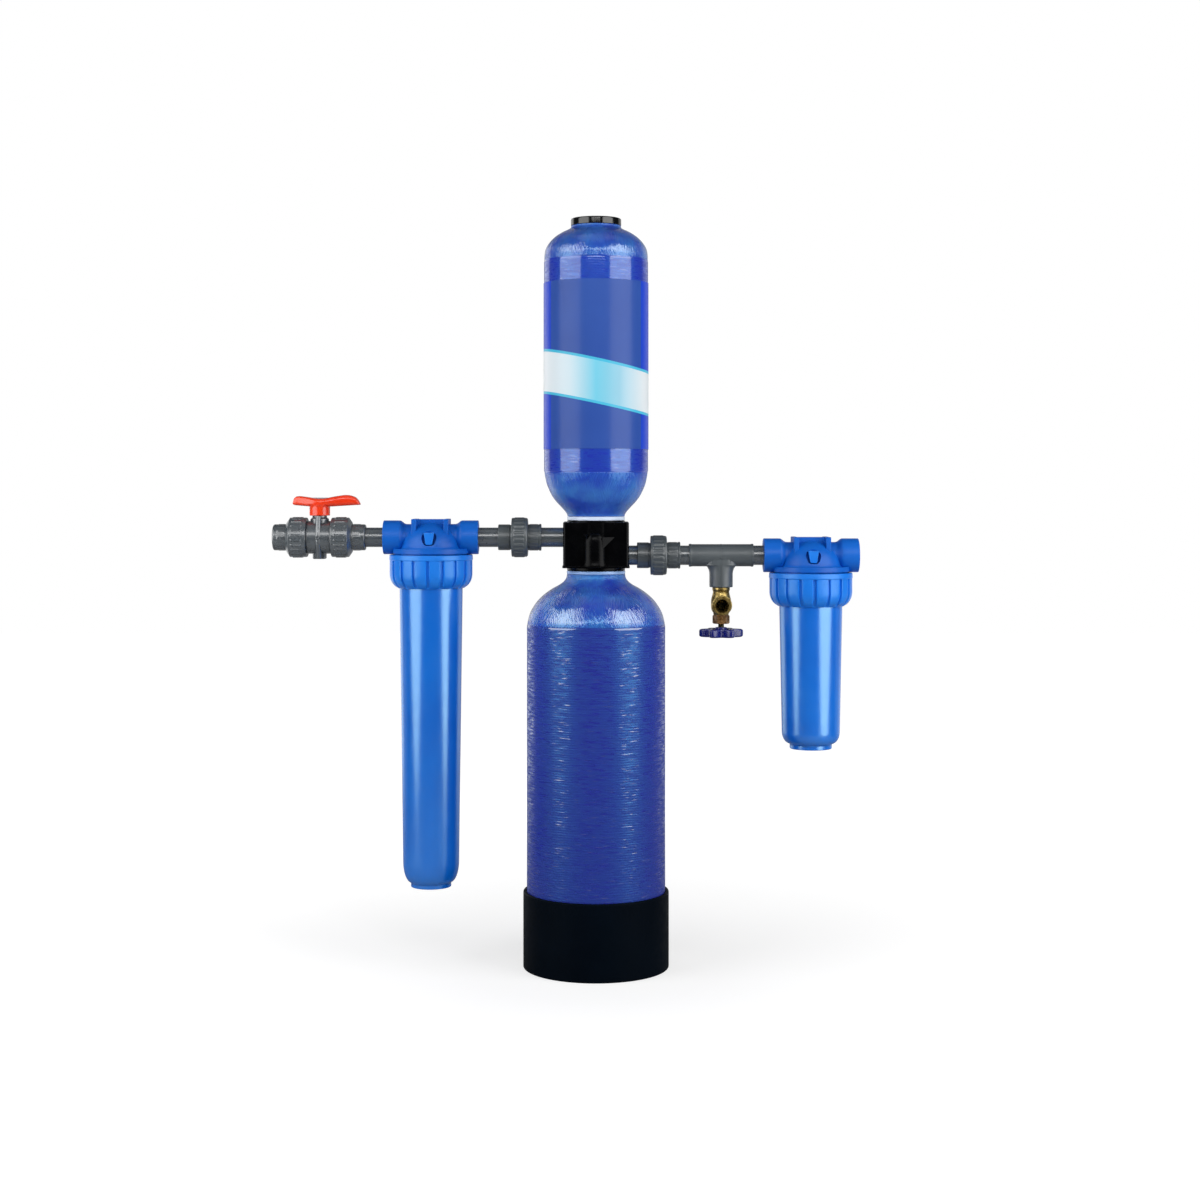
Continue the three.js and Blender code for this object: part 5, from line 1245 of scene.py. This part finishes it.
def handwheel():
    """Six soft lobes, six windows between spokes, and a hub."""
    wheel, small = WHEEL, ROUND.small
    low, top = span("drain_wheel", Z)
    rim_top = top - wheel.drop
    rim_low = rim_top - wheel.rim

    def lobes(angle, radius, height):
        share = radius / wheel.radius
        return radius + wheel.lobe * math.cos(wheel.lobes * angle) * share ** 3

    body = turned(wheel_rows(rim_low, rim_top), wheel.sides, lobes)
    window = rod(wheel.window, rim_low - FIT.overrun, rim_top + FIT.overrun, small)
    angles = [2 * math.pi * i / wheel.lobes for i in range(wheel.lobes)]
    windows = [placed(window, wheel.circle * math.cos(angle), wheel.circle * math.sin(angle))
               for angle in angles]
    hub = turned([(0, low), (wheel.hub, low, wheel.hub_edge), (wheel.hub, top, wheel.hub_edge),
                  (0, top)], small)
    bore = rod(wheel.bore, low - FIT.overrun, top + FIT.overrun, small)
    dress("drain_wheel", combined(body, [hub], [*windows, bore]), FINISHES.wheel, TEE_X)


def wheel_screw():
    low, high = span("drain_wheel_screw", Z)
    head_top, radius = low + SCREW.head, SCREW.radius
    screw = turned([(0, low), (radius, low, SCREW.edge), (radius, head_top, SCREW.head_edge),
                    (SCREW.shank, head_top), (SCREW.shank, high), (0, high)], ROUND.small)
    slot = block((-radius, -SCREW.slot / 2, low - FIT.sunk), (radius, SCREW.slot / 2, low + SCREW.slot_depth))
    dress("drain_wheel_screw", combined(screw, cuts=[slot]), FINISHES.steel, TEE_X)


def paint_hidden_nodes():
    """The CAD nodes that keep their own shape, inside the pieces above, get their materials."""
    kinds = {
        "media": FINISHES.media, "strainer": FINISHES.inner, "riser": FINISHES.inner,
        "o_ring": FINISHES.rubber, "cartridge_core": FINISHES.inner, "cartridge_media": FINISHES.felt,
        "washer": FINISHES.rubber, "seat": FINISHES.inner, "ball": FINISHES.pvc, "stem": FINISHES.pvc,
    }
    for node, obj in frame["nodes"].items():
        if obj.hide_render:
            continue
        finish = next(kinds[kind] for kind in sorted(kinds, key=len, reverse=True) if kind in node)
        obj.data.materials.clear()
        obj.data.materials.append(finish.material)


def add_camera():
    data = bpy.data.cameras.new("camera")
    data.lens = CAMERA.lens
    data.sensor_width = CAMERA.sensor
    data.shift_y = -CAMERA.drop
    camera = bpy.data.objects.new("camera", data)
    camera.location = (CAMERA.x, -CAMERA.distance, CAMERA.height)
    camera.rotation_euler = (math.radians(90), 0, 0)
    bpy.context.scene.collection.objects.link(camera)
    bpy.context.scene.camera = camera


def add_lamps():
    for name, shape, azimuth, height, distance, size, brightness in LAMPS:
        data = bpy.data.lights.new(name, "AREA")
        data.shape = shape
        data.size, data.size_y = size
        data.energy = brightness * math.pi * size[0] * size[1] * AREA_SHARES[shape]
        lamp = bpy.data.objects.new(name, data)
        turn = math.radians(azimuth)
        lamp.location = (distance * math.sin(turn), -distance * math.cos(turn), height)
        aim = Vector((0, 0, height if azimuth else LAMP_AIM))
        lamp.rotation_euler = (aim - lamp.location).to_track_quat("-Z", "Y").to_euler()
        lamp.visible_camera = False
        bpy.context.scene.collection.objects.link(lamp)


def add_world():
    """White to the camera; round the object, a white backdrop behind it and a dim room in front."""
    world = bpy.data.worlds.new("studio")
    bpy.context.scene.world = world
    nodes = Nodes(world, "Background", "Generated")
    seen = nodes.node("LightPath").outputs["Is Camera Ray"]
    level = nodes.math("MAXIMUM", nodes.within(nodes.axes()[Y], *ROOM), seen)
    nodes.tree.links.new(level, nodes.shader.inputs["Strength"])
    nodes.shader.inputs["Color"].default_value = grey(1)


def add_floor():
    """A pale floor, white to the camera beyond the object's shadow, and in reflections behind the object."""
    half = FLOOR.half
    corners = np.array([(-half, -half, 0), (half, -half, 0), (half, half, 0), (-half, half, 0)])
    floor = as_object("floor", (corners, [(0, 1, 2, 3)]))
    finish = Finish("floor_white", "floor", colour=grey(0.4), rough=0.9, level=0.1, glow=grey(1))
    away = finish.node("VectorMath", {0: finish.place}, operation="LENGTH").outputs["Value"]
    path = finish.node("LightPath").outputs
    mirrored_part = finish.times(finish.within(finish.axes()[Y], *FLOOR.behind), path["Is Glossy Ray"])
    shown = finish.math("MAXIMUM", mirrored_part, path["Is Camera Ray"])
    finish.feed("glow_strength", finish.times(finish.within(away, *FLOOR.outward), shown))
    floor.data.materials.append(finish.material)


add_camera()
add_lamps()
add_world()
add_floor()
bpy.context.scene.view_settings.view_transform = "Standard"

for make in (boot, lower_tank, upper_tank, tank_trim, manifold, pipes, unions, tee, valve_body, valve_ends,
             handle, housings, drain_body, packing_nut, drain_stem, handwheel, wheel_screw,
             paint_hidden_nodes):
    make()

bpy.context.view_layer.update()
